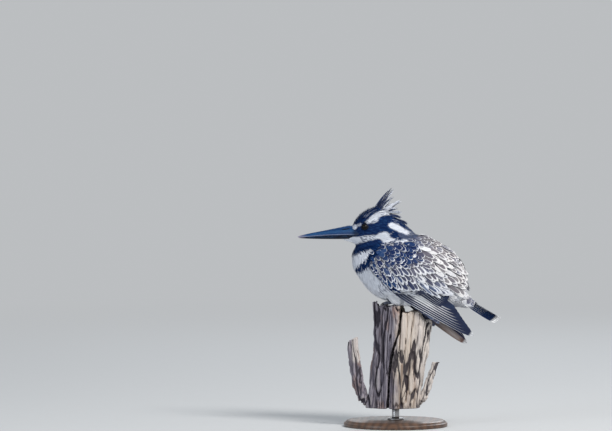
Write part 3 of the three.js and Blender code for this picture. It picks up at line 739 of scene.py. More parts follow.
def lay(pattern, roots, heading, length, half, thick, low, high, stiff=0.0):
    """Copies of a feather, each bent along the skin from its root, low there and high at its tip."""
    places, _ = pattern
    foot, normal, _ = nearest(roots)
    heading = along_skin(heading, normal)
    start, first, out = foot, heading, normal
    line, ups, sides = [], [], []
    for _ in range(STRIDES + 1):
        line.append(foot)
        ups.append(normal)
        sides.append(np.cross(heading, normal))
        foot, normal, _ = nearest(foot + heading * (length / STRIDES)[:, None])
        heading = along_skin(heading, normal)
    line, ups, sides = (np.stack(rows, 1) for rows in (line, ups, sides))
    across, along, up = places.T
    row = np.clip(along * STRIDES, 0, STRIDES - 1e-6)
    before, share = row.astype(int), (row - row.astype(int))[None, :, None]

    def at(rows):
        return rows[:, before] * (1 - share) + rows[:, before + 1] * share

    middle, outward, sideways = at(line), unit(at(ups)), unit(at(sides))
    straight = start[:, None] + first[:, None] * (along[None, :, None] * length[:, None, None])
    free = np.broadcast_to(stiff, len(roots))[:, None, None] * (along**2)[None, :, None]
    middle = middle * (1 - free) + straight * free
    outward = unit(outward * (1 - free) + out[:, None] * free)
    rise = low[:, None] + (high - low)[:, None] * along + up * thick
    frayed = 1.0 + 0.09 * CHANCE.normal(size=(len(roots), len(across))) * (along > 0.4)
    wide = across * half[:, None] * frayed
    bow = wide**2 / BODY_RADIUS * 0.5
    return middle + sideways * wide[..., None] + outward * (rise - bow)[..., None]


def arc(start, bend, end, shares):
    """Places on a curve from start to end that is drawn towards bend between them."""
    t = shares[:, None]
    return start * (1 - t) ** 2 + bend * 2 * t * (1 - t) + end * t**2


def arc_feather(pattern, root, bend, tip, face, half, thick, camber=0.012):
    """One firm feather bent along an arc, its upper side turned towards face."""
    shape, _ = pattern
    across, along, up = shape.T
    root, bend, tip, face = (np.asarray(value, float) for value in (root, bend, tip, face))
    t = along[:, None]
    middle = arc(root, bend, tip, along)
    heading = unit((bend - root) * (1 - t) + (tip - bend) * t)
    outward = unit(face - heading * (heading @ face)[:, None])
    sideways = np.cross(heading, outward)
    bow = (across * half) ** 2 * camber / half
    return middle + sideways * (across * half)[:, None] + outward * (up * thick - bow)[:, None]


# %% Join the feathers of one tract into one mesh
PATCH = {"down": 0.003, "strand": 0.006, "small": 0.008, "middle": 0.012, "large": 0.02}  # sizes on the map


def patch_map(places):
    """Where each place lies on the skin's own unwrap, between its square's corners."""
    faces = nearest(places)[2]
    corners = SKIN_POINTS[CORNERS[faces]]
    share = 1.0 / (np.linalg.norm(corners - places[:, None], axis=2) + 0.05) ** 2
    share /= share.sum(1, keepdims=True)
    return (SKIN_MAP[faces] * share[..., None]).sum(1)


def feather_mesh(name, groups):
    """groups: (pattern, each feather's points, place on the map and plumage values, patch size)."""
    places, triangles, vane, bake, plumage = [], [], [], [], []
    total = 0
    for pattern, points, spots, tones, patch in groups:
        shape, faces = pattern
        count, size = len(points), len(shape)
        places.append(points.reshape(-1, 3))
        triangles.append((faces[None] + (total + np.arange(count) * size)[:, None, None]).reshape(-1, 3))
        vane.append(np.tile(shape[:, :2], (count, 1)))
        offset = np.column_stack([shape[:, 0] * 0.5, shape[:, 1] - 0.5]) * patch
        bake.append((spots[:, None] + offset[None]).reshape(-1, 2))
        plumage.append(np.repeat(tones, size, axis=0) if tones.ndim == 2 else tones.reshape(-1, 4))
        total += count * size
    places, triangles, vane, bake, plumage = map(np.concatenate, (places, triangles, vane, bake, plumage))
    mesh = bpy.data.meshes.new(name)
    mesh.vertices.add(len(places))
    mesh.vertices.foreach_set("co", (places * MM).ravel())
    mesh.loops.add(triangles.size)
    mesh.loops.foreach_set("vertex_index", triangles.ravel().astype(np.int32))
    mesh.polygons.add(len(triangles))
    mesh.polygons.foreach_set("loop_start", np.arange(0, triangles.size, 3, dtype=np.int32))
    mesh.update(calc_edges=True)
    mesh.validate()
    for layer, values in (("OFBake", bake), ("vane", vane)):
        mesh.uv_layers.new(name=layer).data.foreach_set("uv", values[triangles.ravel()].ravel())
    mesh.attributes.new("plumage", "FLOAT_COLOR", "POINT").data.foreach_set("color", plumage.ravel())
    piece = bpy.data.objects.new(name, mesh)
    bpy.context.scene.collection.objects.link(piece)
    take(piece)
    bpy.ops.object.shade_smooth_by_angle(angle=math.radians(60))  # the rims stay crisp
    return piece


# %% [markdown]
# ## Unwrapping the skin, tract by tract
# A coat piece's colours are stored on a flat map, and each feather takes a
# small patch of it where its root lies on the unwrapped skin. Each tract of
# the body is unwrapped on its own, so that it fills the whole map.

# %% Part the skin into tracts
HEAD_OUTLINE = [(-70, 190), (-52, 196), (-34, 192.5), (-18, 199), (6, 200), (21, 206), (30, 214), (10, 262),
                (-70, 262)]
WING_OUTLINE = [(-15, 194), (-26.5, 184), (-25, 171), (-17, 161), (1, 147), (24, 147), (46, 141), (65, 135),
                (75, 147), (77, 163), (66, 176), (52, 186), (36, 194), (14, 199)]
SHOULDER_PIVOT = np.array([-20.0, 180.0])
SIGN = {"left": 1.0, "right": -1.0}  # which way each side lies
COVERT_DROOP = {"left": 0.0, "right": math.radians(3.5)}  # the right wing hangs a little lower
QUILL_DROOP = {"left": 0.0, "right": math.radians(5.8)}
TRACTS = ("head", "breast", "belly", "back", "left_wing", "right_wing")
SLOPE, WAIST = 0.62, 178.0  # the edges of breast and back rise and fall by this, and cross at this height
WING_FACING, WING_INSIDE = 0.42, 8.0  # how far aside a wing's skin faces at least, and lies at least


def turned_down(values, angle):
    """Spots or headings on the side, with their hind end turned down by an angle."""
    y, z = np.asarray(values, float).T
    cosine, sine = math.cos(angle), math.sin(angle)
    return np.column_stack([y * cosine + z * sine, z * cosine - y * sine])


def drooped(spots, angle):
    """Places on the side, turned down about the shoulder."""
    return turned_down(np.asarray(spots, float) - SHOULDER_PIVOT, angle) + SHOULDER_PIVOT


def tract_of(places, normals):
    """The tract of each place: belly where no other is."""
    side = places[:, 1:]
    y, z = side.T
    tract = np.full(len(places), TRACTS.index("belly"))
    tract[z - SLOPE * y > WAIST] = TRACTS.index("breast")
    tract[(y < -20) & (z > 150)] = TRACTS.index("breast")
    upper = (z + SLOPE * y > WAIST) & (normals[:, 2] + normals[:, 1] * 0.5 > -0.1)
    tract[(y > -16) & upper] = TRACTS.index("back")
    aside = np.abs(normals[:, 0]) > WING_FACING
    for wing, sign in SIGN.items():
        shape = inside(side, drooped(WING_OUTLINE, COVERT_DROOP[wing]))
        tract[shape & aside & (places[:, 0] * sign > WING_INSIDE)] = TRACTS.index(f"{wing}_wing")
    tract[inside(side, HEAD_OUTLINE)] = TRACTS.index("head")
    return tract


FACE_TRACTS = tract_of(FACE_MIDDLES, FACE_NORMALS)

# %% Unwrap each tract
def unwrapped_skin():
    """Each square's four corners on its tract's flat map."""
    take(skin)
    skin.data.uv_layers.new(name="OFBake")
    for index in range(len(TRACTS)):
        chosen = FACE_TRACTS == index
        bpy.ops.object.mode_set(mode="OBJECT")
        skin.data.polygons.foreach_set("select", chosen)
        bpy.ops.object.mode_set(mode="EDIT")
        bpy.ops.mesh.select_mode(type="FACE")
        bpy.ops.uv.smart_project(angle_limit=math.radians(80), island_margin=0.004)
    bpy.ops.object.mode_set(mode="OBJECT")
    spots = np.empty(len(skin.data.loops) * 2)
    skin.data.uv_layers["OFBake"].data.foreach_get("uv", spots)
    skin.data.uv_layers.remove(skin.data.uv_layers["OFBake"])
    return spots.reshape(-1, 4, 2)


SKIN_MAP = unwrapped_skin()
print("faces in each tract:", dict(zip(TRACTS, np.bincount(FACE_TRACTS).tolist())))

# %% Scatter roots
def areas_of_squares():
    a, b, c, d = (SKIN_POINTS[CORNERS[:, i]] for i in range(4))
    return np.linalg.norm(np.cross(c - a, d - b), axis=1) / 2


SQUARE_AREAS = areas_of_squares()


def spread(places, gaps):
    """Keeps each place that lies more than its own gap from all kept before it."""
    size = gaps.max()
    around = [(i, j, k) for i in (-1, 0, 1) for j in (-1, 0, 1) for k in (-1, 0, 1)]
    cells, kept = {}, []
    for index, (place, gap) in enumerate(zip(places.tolist(), gaps.tolist())):
        x, y, z = (int(value // size) for value in place)
        near = (other for i, j, k in around for other in cells.get((x + i, y + j, z + k), ()))
        if all(math.dist(place, other) > gap for other in near):
            cells.setdefault((x, y, z), []).append(place)
            kept.append(index)
    return np.array(kept)


def scatter(tract, gap_at, tries=3.0):
    """Roots over a tract, as far apart as gap_at says there."""
    chosen = np.flatnonzero(FACE_TRACTS == TRACTS.index(tract))
    gaps = gap_at(FACE_MIDDLES[chosen])
    weight = SQUARE_AREAS[chosen] / gaps**2
    count = int(weight.sum() * tries)
    picks = CHANCE.choice(len(chosen), count, p=weight / weight.sum())
    u, v = CHANCE.random((2, count, 1))
    a, b, c, d = (SKIN_POINTS[CORNERS[chosen[picks], i]] for i in range(4))
    places = (a * (1 - u) + b * u) * (1 - v) + (d * (1 - u) + c * u) * v
    return places[spread(places, gaps[picks])]


def even(gap):
    """The same gap all over a tract."""
    return lambda places: np.full(len(places), gap)


def vary(count, amount):
    """Factors about 1, up to amount more or less."""
    return 1.0 + amount * (CHANCE.random(count) * 2 - 1)


def turned_heading(heading, normals, wobble):
    """Each heading swung a little to one side or the other."""
    swing = (CHANCE.random(len(heading)) * 2 - 1) * wobble
    return unit(heading + np.cross(normals, heading) * np.tan(swing)[:, None])


def colours(ink, fringe, hue, shade):
    """The plumage values of each feather: darkness, fringe width, blue-black to brown, and its own tone."""
    count = len(ink)
    return np.column_stack([np.broadcast_to(value, count) for value in (ink, fringe, hue, shade)])


# %% [markdown]
# ## The coat of head, breast, belly and back
# Feathers are tiny and close on the face, a little longer on the crown, soft
# and pointed on the breast and belly, and broad with pale fringes on the back.
# Particle hair would be quicker to grow, but it is lost when a model leaves
# Blender, so each feather is a thin closed mesh, bent along the skin from its
# root. Each tract is one joined piece, and its feathers' colour values lie in
# an attribute that one finish reads.

# %% Feather the head
SHOWN = 0.6  # how far along a small feather the part lies that shows
EYE_LOW, EYE_HIGH = (np.array(corner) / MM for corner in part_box("eye_left"))
EYE_PLACE, EYE_RADIUS = (EYE_LOW + EYE_HIGH) / 2, (EYE_HIGH[0] - EYE_LOW[0]) / 2
EYE_OPENING = 2.5  # no feather grows nearer to the eye's middle


def head_gap(places):
    face = smooth((-30 - places[:, 1]) / 10)
    eye = np.hypot(places[:, 1] - EYE_PLACE[1], places[:, 2] - EYE_PLACE[2])
    return 0.76 - 0.10 * face - 0.26 * smooth((6.5 - eye) / 3)


def head_group():
    """Tufts, shortest round the eye and by the bill, and raised a little on the forehead."""
    roots = scatter("head", head_gap, tries=3.5)
    _, normals, _ = nearest(roots)
    y, z = roots[:, 1], roots[:, 2]
    eye = np.hypot(y - EYE_PLACE[1] + 0.45, z - EYE_PLACE[2])  # they point back, so their ring lies forward
    clear = (eye > EYE_OPENING) | (np.abs(roots[:, 0]) < 6)
    clear &= ~((y < -48.6) & (z > 202) & (np.abs(roots[:, 0]) < 9))
    roots, normals, eye = roots[clear], normals[clear], eye[clear]
    y, z = roots[:, 1], roots[:, 2]
    count = len(roots)
    face = smooth((-34 - y) / 12)
    crown = smooth((z - 222 - 0.2 * (y + 30)) / 8)
    length = (4.8 - 2.4 * face + 2.4 * crown * (1 - face)) * vary(count, 0.25)
    near_eye = smooth((6.0 - eye) / 2.5)
    length = length * (1 - near_eye) + 1.7 * near_eye
    half = (0.40 - 0.10 * face - 0.08 * near_eye) * vary(count, 0.25)
    heading = turned_heading(along_skin(lie_at(roots), normals), normals, 0.16)
    ink = ink_at(roots + heading * (length * SHOWN)[:, None])
    pale = CHANCE.random(count)
    ink = np.where((ink > 0.6) & (crown > 0.3) & (pale < 0.14), 0.66, ink)
    hind = (y > -8) & (ink > 0.5)
    ink = np.where(hind & (pale < 0.08), 0.55, ink)
    brow = (ink < 0.3) & (y < -8) & (y > -31) & (z > 218)
    ink = np.where(brow & (pale < 0.16), 0.70, ink)
    flecks = (y > -40) & (y < -25) & (z > 199) & (z < 209) & (ink < 0.2)
    ink = np.where(flecks & (pale < 0.40), 0.85, ink)
    raised = smooth((normals[:, 2] - 0.2) / 0.5) * smooth((y + 49) / 8) * (1 - smooth((y + 18) / 8))
    length = length + raised * 1.6
    high = (0.75 + 0.35 * crown - 0.25 * face + raised * 2.3) * vary(count, 0.35)
    points = lay(TUFT, roots, heading, length, half, THIN, raised * 0.5, high, stiff=0.12)
    values = colours(ink, 0.0, 0.02, CHANCE.random(count))
    return TUFT, points, patch_map(roots), values, PATCH["down"]


# %% Feather the chin under the bill
def chin_group(count=520):
    """White down between the two arms of the lower sheath, reaching forward to a point."""
    y = -57.5 + 13.0 * CHANCE.random(count) ** 0.8
    reach = 0.40 * (y + 58.2)
    turn = CHANCE.uniform(-1.45, 1.45, count)
    roots = np.column_stack([reach * 1.05 * np.sin(turn), y, 202.0 - reach * 0.72 * np.cos(turn)])
    points = []
    for root, angle, far in zip(roots, turn, vary(count, 0.25)):
        out = np.array([math.sin(angle), 0.0, -math.cos(angle)])
        tip = root + np.array([0.0, 4.0, -0.9]) * far + out * 0.8
        points.append(arc_feather(TUFT, root, (root + tip) / 2 + out * 0.3, tip, out, 0.36, THIN))
    values = colours(np.full(count, 0.02), 0.0, 0.25, CHANCE.random(count))
    return TUFT, np.array(points), patch_map(roots), values, PATCH["down"]


# %% Feather the breast and belly
def mottled(roots, above):
    """Which roots lie in the few darker clouds of the flank."""
    return np.array([noise.noise(Vector(place) / 5.5) > above for place in roots.tolist()])


def beneath_wing(places):
    """Which places lie under the rear half of a folded wing, where plumes are short and painted dark as
    shade.
    """
    return (places[:, 1] > 17) & (np.abs(places[:, 0]) > 15) & (places[:, 2] < 150)


def soft_group(tract, gap, length, half, flecked):
    """White plumes with the markings' black, on the belly with a few grey ones on the flank."""
    roots = scatter(tract, even(gap))
    roots = roots[roots[:, 1] < 66]
    _, normals, _ = nearest(roots)
    count = len(roots)
    y, z = roots[:, 1], roots[:, 2]
    heading = turned_heading(along_skin(lie_at(roots), normals), normals, 0.22)
    ink = ink_at(roots + heading * length * SHOWN)
    chance = CHANCE.random(count)
    flank = flecked & (y > -24) & (y < 8) & (z > 136) & (z < 170) & (np.abs(roots[:, 0]) > 8)
    ink = np.where(flank & mottled(roots, 0.12) & (chance < 0.7), 0.72, ink)
    ink = np.where((ink > 0.7) & (chance > 0.93), 0.5, ink)
    hidden = beneath_wing(roots)
    # painted shade: the plumes under the folded wing are coloured dark
    ink = np.where(hidden, 0.92, ink)
    high = 1.5 * vary(count, 0.3) * np.where(hidden, 0.6, 1.0)
    long = length * vary(count, 0.22) * np.where(hidden, 0.4, 1.0)
    wide = half * vary(count, 0.25)
    points = lay(PLUME, roots, heading, long, wide, THIN, np.zeros(count), high, stiff=0.22)
    values = colours(ink, 0.0, 0.25 * smooth((160 - z) / 20), CHANCE.random(count))
    return PLUME, points, patch_map(roots), values, PATCH["down"]


# %% Hang longer down from the belly over the perch
def skirt_group(count=1300):
    """Loose plumes along both flanks, which hide where the belly sits down on the wood."""
    y = CHANCE.uniform(-9, 24, count)
    z = np.interp(y, [-9, 0, 12, 27], [140.5, 138.0, 136.5, 134.5]) + CHANCE.uniform(0, 5.5, count)
    sign = np.where(CHANCE.random(count) < 0.5, 1.0, -1.0)
    points, roots = [], []
    for start_y, start_z, way in zip(y, z, sign):
        hit = skin_tree.ray_cast((way * 70.0, start_y, start_z), (-way, 0.0, 0.0))[0]
        root = np.array(hit[:] if hit else skin_tree.find_nearest((way * 12.0, start_y, start_z))[0][:])
        reach = CHANCE.uniform(6.0, 10.5) + 3.2 * smooth((3.0 - start_y) / 8)  # longest by the feet
        tip = root + np.array([way * CHANCE.uniform(-0.5, 2.5), 0.62 * reach, -0.72 * reach])
        tip[0] = way * min(abs(tip[0]), 19.0 - 0.18 * max(tip[1], 0.0))
        bend = (root + tip) / 2 + np.array([way * 1.5, 0.0, 0.6])
        face = (way, CHANCE.uniform(-0.3, 0.3), 0.35)
        points.append(arc_feather(PLUME, root, bend, tip, face, CHANCE.uniform(0.35, 0.6), 0.05))
        roots.append(root)
    roots = np.array(roots)
    ink = np.where(mottled(roots, 0.1), 0.42, 0.03)
    values = colours(ink, 0.0, 0.5, CHANCE.random(count))
    return PLUME, np.array(points), patch_map(roots), values, PATCH["down"]


# %% Feather the back
RUMP_END = 70.0  # behind this only the rump's short feathers and the tail's covers grow


def clear_of_vent(roots):
    """Which roots lie clear of the body's end, where smaller feathers of its own grow."""
    return (roots[:, 1] < 64) | (roots[:, 2] > 152)


def back_gap(places):
    return 2.3 + 1.3 * smooth((places[:, 1] - 5) / 40)


def back_group():
    """Rounded feathers, blue-black in front, and grey-brown with wider pale fringes behind."""
    roots = scatter("back", back_gap)
    roots = roots[roots[:, 1] < RUMP_END]
    _, normals, _ = nearest(roots)
    count = len(roots)
    y, z = roots[:, 1], roots[:, 2]
    hind = smooth((y - 10) / 45)
    length = (8.0 + 5.5 * hind) * vary(count, 0.12)
    half = (2.0 + 0.9 * hind) * vary(count, 0.12)
    heading = turned_heading(along_skin(lie_at(roots), normals), normals, 0.2)
    chance = CHANCE.random(count)
    ink = 0.97 - 0.22 * hind * chance
    ink = np.where((chance < 0.07) | ((y > 62) & (z < 152)), 0.08, ink)
    fringe = 0.15 + 0.13 * hind * vary(count, 0.5)
    loose = np.where((chance > 0.9) & (y > 20), 1.7, 1.0)  # a few stand off the outline
    high = (1.6 + 0.5 * hind) * vary(count, 0.3) * loose
    stiff = 0.3 + 0.5 * smooth((y - 56) / 12)
    points = lay(VANE, roots, heading, length, half, FIRM, np.zeros(count), high, stiff)
    values = colours(ink, fringe, 0.15 + 0.85 * smooth((y - 6) / 34), CHANCE.random(count))
    kept = clear_of_vent(roots)
    return VANE, points[kept], patch_map(roots[kept]), values[kept], PATCH["middle"]


# %% The feathers' finish
FULL_TURN = 6.2832  # once round, for waves that repeat once in each unit


def plumage_finish(name, vaned):
    """White with a faint painted cool tint of skylight, blue-black whose blue is partly painted sky
    reflection, or grey-brown, by the plumage values; some dark feathers take painted lighter blue highlights,
    and vanes have a pale fringe and barbs.
    """
    finish = Finish(name, Specular_IOR_Level=0.05)
    ink, fringe, hue = finish.parts(finish.attribute("plumage", "Color"))
    shade = finish.attribute("plumage", "Alpha")
    # the whites' faint blue is a painted cool cast of skylight in open shade
    light = finish.mix(hue * 0.7, (0.765, 0.795, 0.865), (0.73, 0.70, 0.67))
    light = finish.mix(shade * 0.45, light, (0.50, 0.53, 0.61))
    # the black's blue is partly painted reflection of a blue sky
    dark = finish.mix(hue, (0.002, 0.016, 0.078), (0.118, 0.104, 0.124))
    # painted highlight: dark feathers with a higher own tone turn partly lighter blue
    dark = finish.mix(shade.step(0.5, 1.0) * 0.48, dark, (0.022, 0.080, 0.220))
    dark = finish.mix(hue * (shade - 0.3).step(0.0, 0.9) * 0.5, dark, (0.23, 0.20, 0.21))
    if vaned:
        across, along, _ = finish.parts(finish.node("ShaderNodeUVMap", {"uv_map": "vane"}))
        beyond = ((along - 0.55).sum("MAXIMUM", 0.0)) / 0.45
        rim = 1.0 - (across * across + beyond * beyond).sum("SQRT")
        slant = along * 30.0 + abs(across) * -7.0
        barbs = (slant * FULL_TURN).sum("SINE")
        strands = {0: slant * 1.6, 1: across * 0.7, 2: shade * 31.0}
        frayed = finish.grain(finish.node("ShaderNodeCombineXYZ", None, strands), 1.0, 2.0, 0.6)
        ink = ink * (rim + (frayed - 0.5) * 0.34).step(fringe - 0.09, fringe + 0.09)
        ink = (ink - (frayed - 0.45).step(0.12, 0.3) * 0.18).sum("MAXIMUM", 0.0)
        shaft = 1.0 - abs(across).step(0.03, 0.09)
        ink = ink + (1.0 - ink) * shaft * 0.14
        bumps = finish.bump(barbs * 0.3 + frayed * 0.5 + shaft * 0.8, 0.45, 0.1)
    else:
        bumps = finish.bump(finish.grain(finish.place(), 1400.0, 2.0), 0.3, 0.15)
    colour = finish.mix(ink, light, dark)
    return finish.feed(Base_Color=colour, Roughness=0.62 - ink * 0.14, Normal=bumps)


# %% Lay the coat pieces
down_finish = plumage_finish("down", vaned=False)
vane_finish = plumage_finish("vanes", vaned=True)


def paint_skin():
    """Gives the skin the coat's own darks, so that none of it shows pale between feathers."""
    places = points_of(skin)
    ink = ink_at(places)
    behind = smooth((places[:, 1] + 14) / 10) * (places[:, 2] + 0.5 * places[:, 1] > 165)
    upper = behind * ~inside(places[:, 1:], HEAD_OUTLINE)
    # painted shade: the skin under the rear of the folded wing is coloured dark as well
    ink = np.where(beneath_wing(places) & (places[:, 1] < 54), 0.9, np.maximum(ink, upper * 0.45))
    values = colours(ink, 0.0, upper * 0.8, 0.5)
    skin.data.attributes.new("plumage", "FLOAT_COLOR", "POINT").data.foreach_set("color", values.ravel())
    placed(skin, "plumage", down_finish, *FLESH)


paint_skin()
placed(feather_mesh("head_coat", [head_group(), chin_group()]), "plumage", down_finish)
placed(feather_mesh("breast_coat", [soft_group("breast", 0.92, 7.0, 0.55, False)]), "plumage", down_finish)
belly = [soft_group("belly", 1.05, 8.5, 0.62, True), skirt_group()]
placed(feather_mesh("belly_coat", belly), "plumage", down_finish)
placed(feather_mesh("back_coat", [back_group()]), "plumage", vane_finish)

# %% [markdown]
# ## The folded wings
# Wing feathers grow in rows. Each row is a line of roots on the wing's side,
# from the bend backwards, and its feathers turn and lengthen along it. The
# rows nearest the shoulder lie over the ones below. The right wing is the
# left one mirrored, turned down a little about its shoulder.

# %% List the rows, from the lowest layer up
PLAIN_ROW = {"ink": 1.0, "hues": (0.0, 0.0), "stiff": 0.1}
ROWS = (  # each a line of roots, pairs of values for its first and last feather, and heights at root and tip
    # black cover feathers along the front edge
    dict(PLAIN_ROW, line=[(-21, 166), (-13, 158.5), (-4, 152)], count=5, first=(0.70, -0.71),
         last=(0.80, -0.60), lengths=(13, 16), halves=(1.7, 2.0), fringe=0.06, heights=(0.4, 1.5), stiff=0.2),
    # long white inner feathers with a dark streak, over the hind flight feathers
    dict(PLAIN_ROW, line=[(24, 158), (36, 154), (47, 151)], count=6, first=(0.80, -0.60), last=(0.84, -0.54),
         lengths=(17, 21), halves=(2.5, 3.1), ink=0.95, fringe=0.56, hues=(0.0, 0.4), heights=(0.8, 2.4),
         stiff=0.55),
    # the longest inner feathers, white with a dark streak, low over the hind flight feathers
    dict(PLAIN_ROW, line=[(28, 155), (38, 150.5)], count=2, first=(0.79, -0.61), last=(0.79, -0.61),
         lengths=(18, 20), halves=(2.0, 2.1), ink=0.9, fringe=0.60, hues=(0.0, 0.2), heights=(2.2, 3.2),
         stiff=0.8),
    # great covers over the flight feathers
    dict(PLAIN_ROW, line=[(-9, 161.5), (6, 158.5), (20, 159.5), (34, 163), (48, 159.5)], count=15,
         first=(0.46, -0.89), last=(0.80, -0.60), lengths=(12, 16), halves=(2.4, 2.8), fringe=0.37,
         hues=(0.0, 0.6), heights=(0.5, 2.2), stiff=0.3),
    # two middle rows
    dict(PLAIN_ROW, line=[(-14, 168.5), (4, 166), (22, 166.5), (44, 170)], count=15, first=(0.50, -0.87),
         last=(0.74, -0.67), lengths=(10.5, 14), halves=(2.1, 2.8), fringe=0.37, hues=(0.1, 0.8),
         heights=(0.7, 2.2)),
    dict(PLAIN_ROW, line=[(-17, 175), (0, 172.8), (18, 173.5), (40, 178)], count=14, first=(0.52, -0.85),
         last=(0.72, -0.69), lengths=(9.0, 13), halves=(2.1, 2.9), fringe=0.35, hues=(0.1, 0.8),
         heights=(0.9, 2.4)),
    # small covers towards the shoulder and round the bend
    dict(PLAIN_ROW, line=[(-23.5, 171), (-17, 163.5), (-9, 158)], count=8, first=(0.72, -0.69),
         last=(0.72, -0.69), lengths=(6.5, 6.5), halves=(1.6, 1.6), fringe=0.26, heights=(1.0, 2.3)),
    dict(PLAIN_ROW, line=[(-25.5, 178), (-22, 169), (-15, 163)], count=8, first=(0.66, -0.75),
         last=(0.70, -0.71), lengths=(6.5, 6.5), halves=(1.6, 1.6), fringe=0.28, heights=(1.2, 2.4)),
    dict(PLAIN_ROW, line=[(-20, 180), (-5, 178.8), (12, 180), (32, 186)], count=13, first=(0.56, -0.83),
         last=(0.74, -0.67), lengths=(7.5, 12), halves=(2.0, 3.0), fringe=0.30, hues=(0.05, 0.8),
         heights=(1.1, 2.5)),
    dict(PLAIN_ROW, line=[(-25.5, 184), (-22, 178), (-19, 170)], count=7, first=(0.72, -0.69),
         last=(0.66, -0.75), lengths=(6.5, 6.5), halves=(1.7, 1.7), fringe=0.26, heights=(1.3, 2.4)),
    dict(PLAIN_ROW, line=[(-23, 187.5), (-9, 184.5), (6, 185), (20, 190)], count=13, first=(0.66, -0.75),
         last=(0.78, -0.63), lengths=(7.5, 10), halves=(2.0, 2.6), ink=0.97, fringe=0.30, hues=(0.0, 0.5),
         heights=(1.3, 2.7)),
)


def along_line(line, shares):
    """Places and their spread along a line of places, by share of its length."""
    line = np.array(line, float)
    reach = np.r_[0, np.cumsum(np.linalg.norm(np.diff(line, axis=0), axis=1))]
    return np.column_stack([np.interp(shares * reach[-1], reach, line[:, axis]) for axis in (0, 1)])


def on_wing(side, spots):
    """The places on the skin that lie behind spots on the bird's side."""
    sign = SIGN[side]
    spots = drooped(spots, COVERT_DROOP[side])
    roots = []
    for y, z in spots.tolist():
        hit = skin_tree.ray_cast((sign * 70.0, y, z), (-sign, 0.0, 0.0))[0]
        roots.append(hit[:] if hit else skin_tree.find_nearest((sign * 25.0, y, z))[0][:])
    return np.array(roots)


def side_heading(side, heading):
    """Headings drawn for the left wing, as they lie on either wing."""
    return unit(np.column_stack([np.zeros(len(heading)), turned_down(heading, COVERT_DROOP[side])]))


def patchy(roots, amount):
    """Slow changes from one part of the coat to the next, alike for neighbours."""
    return 1.0 + amount * np.array([noise.noise(Vector(place) / 9.0) for place in roots.tolist()])


# %% Lay the cover feathers
COVER = feather_pattern("cover", 6, [(0.0, 0.3, 0.9), (0.15, 0.75, 1.0), (0.35, 0.97, 1.0), (0.6, 1.0, 1.0),
                                     (0.8, 0.86, 0.9), (0.92, 0.6, 0.7), (0.98, 0.3, 0.5)])
SHOULDER_OUTLINE = [(-19, 189), (-8, 181), (6, 179), (22, 182), (34, 172), (50, 160), (66, 146), (78, 146),
                    (80, 166), (66, 184), (52, 194), (36, 204), (10, 206), (-16, 198)]


def row_group(side, row):
    """One row of covers, which turn and change along it as its pairs of values say."""
    count = row["count"]
    shares = np.clip((np.arange(count) + 0.5 + CHANCE.uniform(-0.3, 0.3, count)) / count, 0, 1)

    def blend(ends):
        return ends[0] + (ends[1] - ends[0]) * shares

    spots = along_line(row["line"], shares) + CHANCE.normal(0, 0.55, (count, 2))
    roots = on_wing(side, spots)
    _, normals, _ = nearest(roots)
    first, last = np.array(row["first"]), np.array(row["last"])
    heading = side_heading(side, first + (last - first) * shares[:, None])
    heading = turned_heading(along_skin(heading, normals), normals, 0.14)
    low = np.full(count, row["heights"][0]) + shares * 0.02
    high = row["heights"][1] * vary(count, 0.12)
    length = blend(row["lengths"]) * vary(count, 0.12)
    half = blend(row["halves"]) * vary(count, 0.14)
    points = lay(COVER, roots, heading, length, half, FIRM, low, high, row["stiff"])
    faded = CHANCE.random(count) * smooth(spots[:, 0] / 25)
    bold = 0.54 + 0.46 * smooth((spots[:, 0] + 12) / 22)  # thin fringes by the bend of the wing
    fringe = row["fringe"] * bold * vary(count, 0.25) * patchy(roots, 0.9)
    hue = blend(row["hues"]) * vary(count, 0.15)
    values = colours(row["ink"] * (1 - 0.12 * faded), fringe, hue, CHANCE.random(count))
    return COVER, points, patch_map(roots), values, PATCH["large"]


def scapular_group(side):
    """Long shoulder feathers, blue-black with thin fringes in front and grey-brown with wide ones behind."""
    roots = scatter(f"{side}_wing", lambda places: 2.9 + 1.2 * smooth((places[:, 1] - 5) / 40))
    outline = drooped(SHOULDER_OUTLINE, COVERT_DROOP[side])
    roots = roots[inside(roots[:, 1:], outline) & (roots[:, 1] < RUMP_END)]
    _, normals, _ = nearest(roots)
    count = len(roots)
    y, z = roots[:, 1], roots[:, 2]
    hind = smooth((y - 12) / 30)
    heading = side_heading(side, np.tile((0.86, -0.51), (count, 1)))
    heading = turned_heading(along_skin(heading, normals), normals, 0.2)
    chance = CHANCE.random(count)
    ink = 1.0 - 0.22 * hind * chance
    ink = np.where((chance < 0.10 * hind) | ((y > 58) & (z < 151)), 0.08, ink)
    fringe = (0.08 + 0.24 * hind) * vary(count, 0.3) * patchy(roots, 0.9)
    length = (11 + 4.5 * hind) * vary(count, 0.18)
    half = (2.8 - 0.1 * hind) * vary(count, 0.2)
    high = (2.9 + 0.4 * hind) * vary(count, 0.12)
    stiff = 0.15 + 0.6 * smooth((y - 52) / 15)
    points = lay(COVER, roots, heading, length, half, FIRM, np.full(count, 1.1), high, stiff)
    values = colours(ink, fringe, 0.05 + 0.9 * smooth((y - 14) / 22), CHANCE.random(count))
    kept = clear_of_vent(roots)
    return COVER, points[kept], patch_map(roots[kept]), values[kept], PATCH["large"]


WING_HEM = [(-15, 161), (1, 147), (24, 147), (46, 141), (65, 135), (75, 147)]


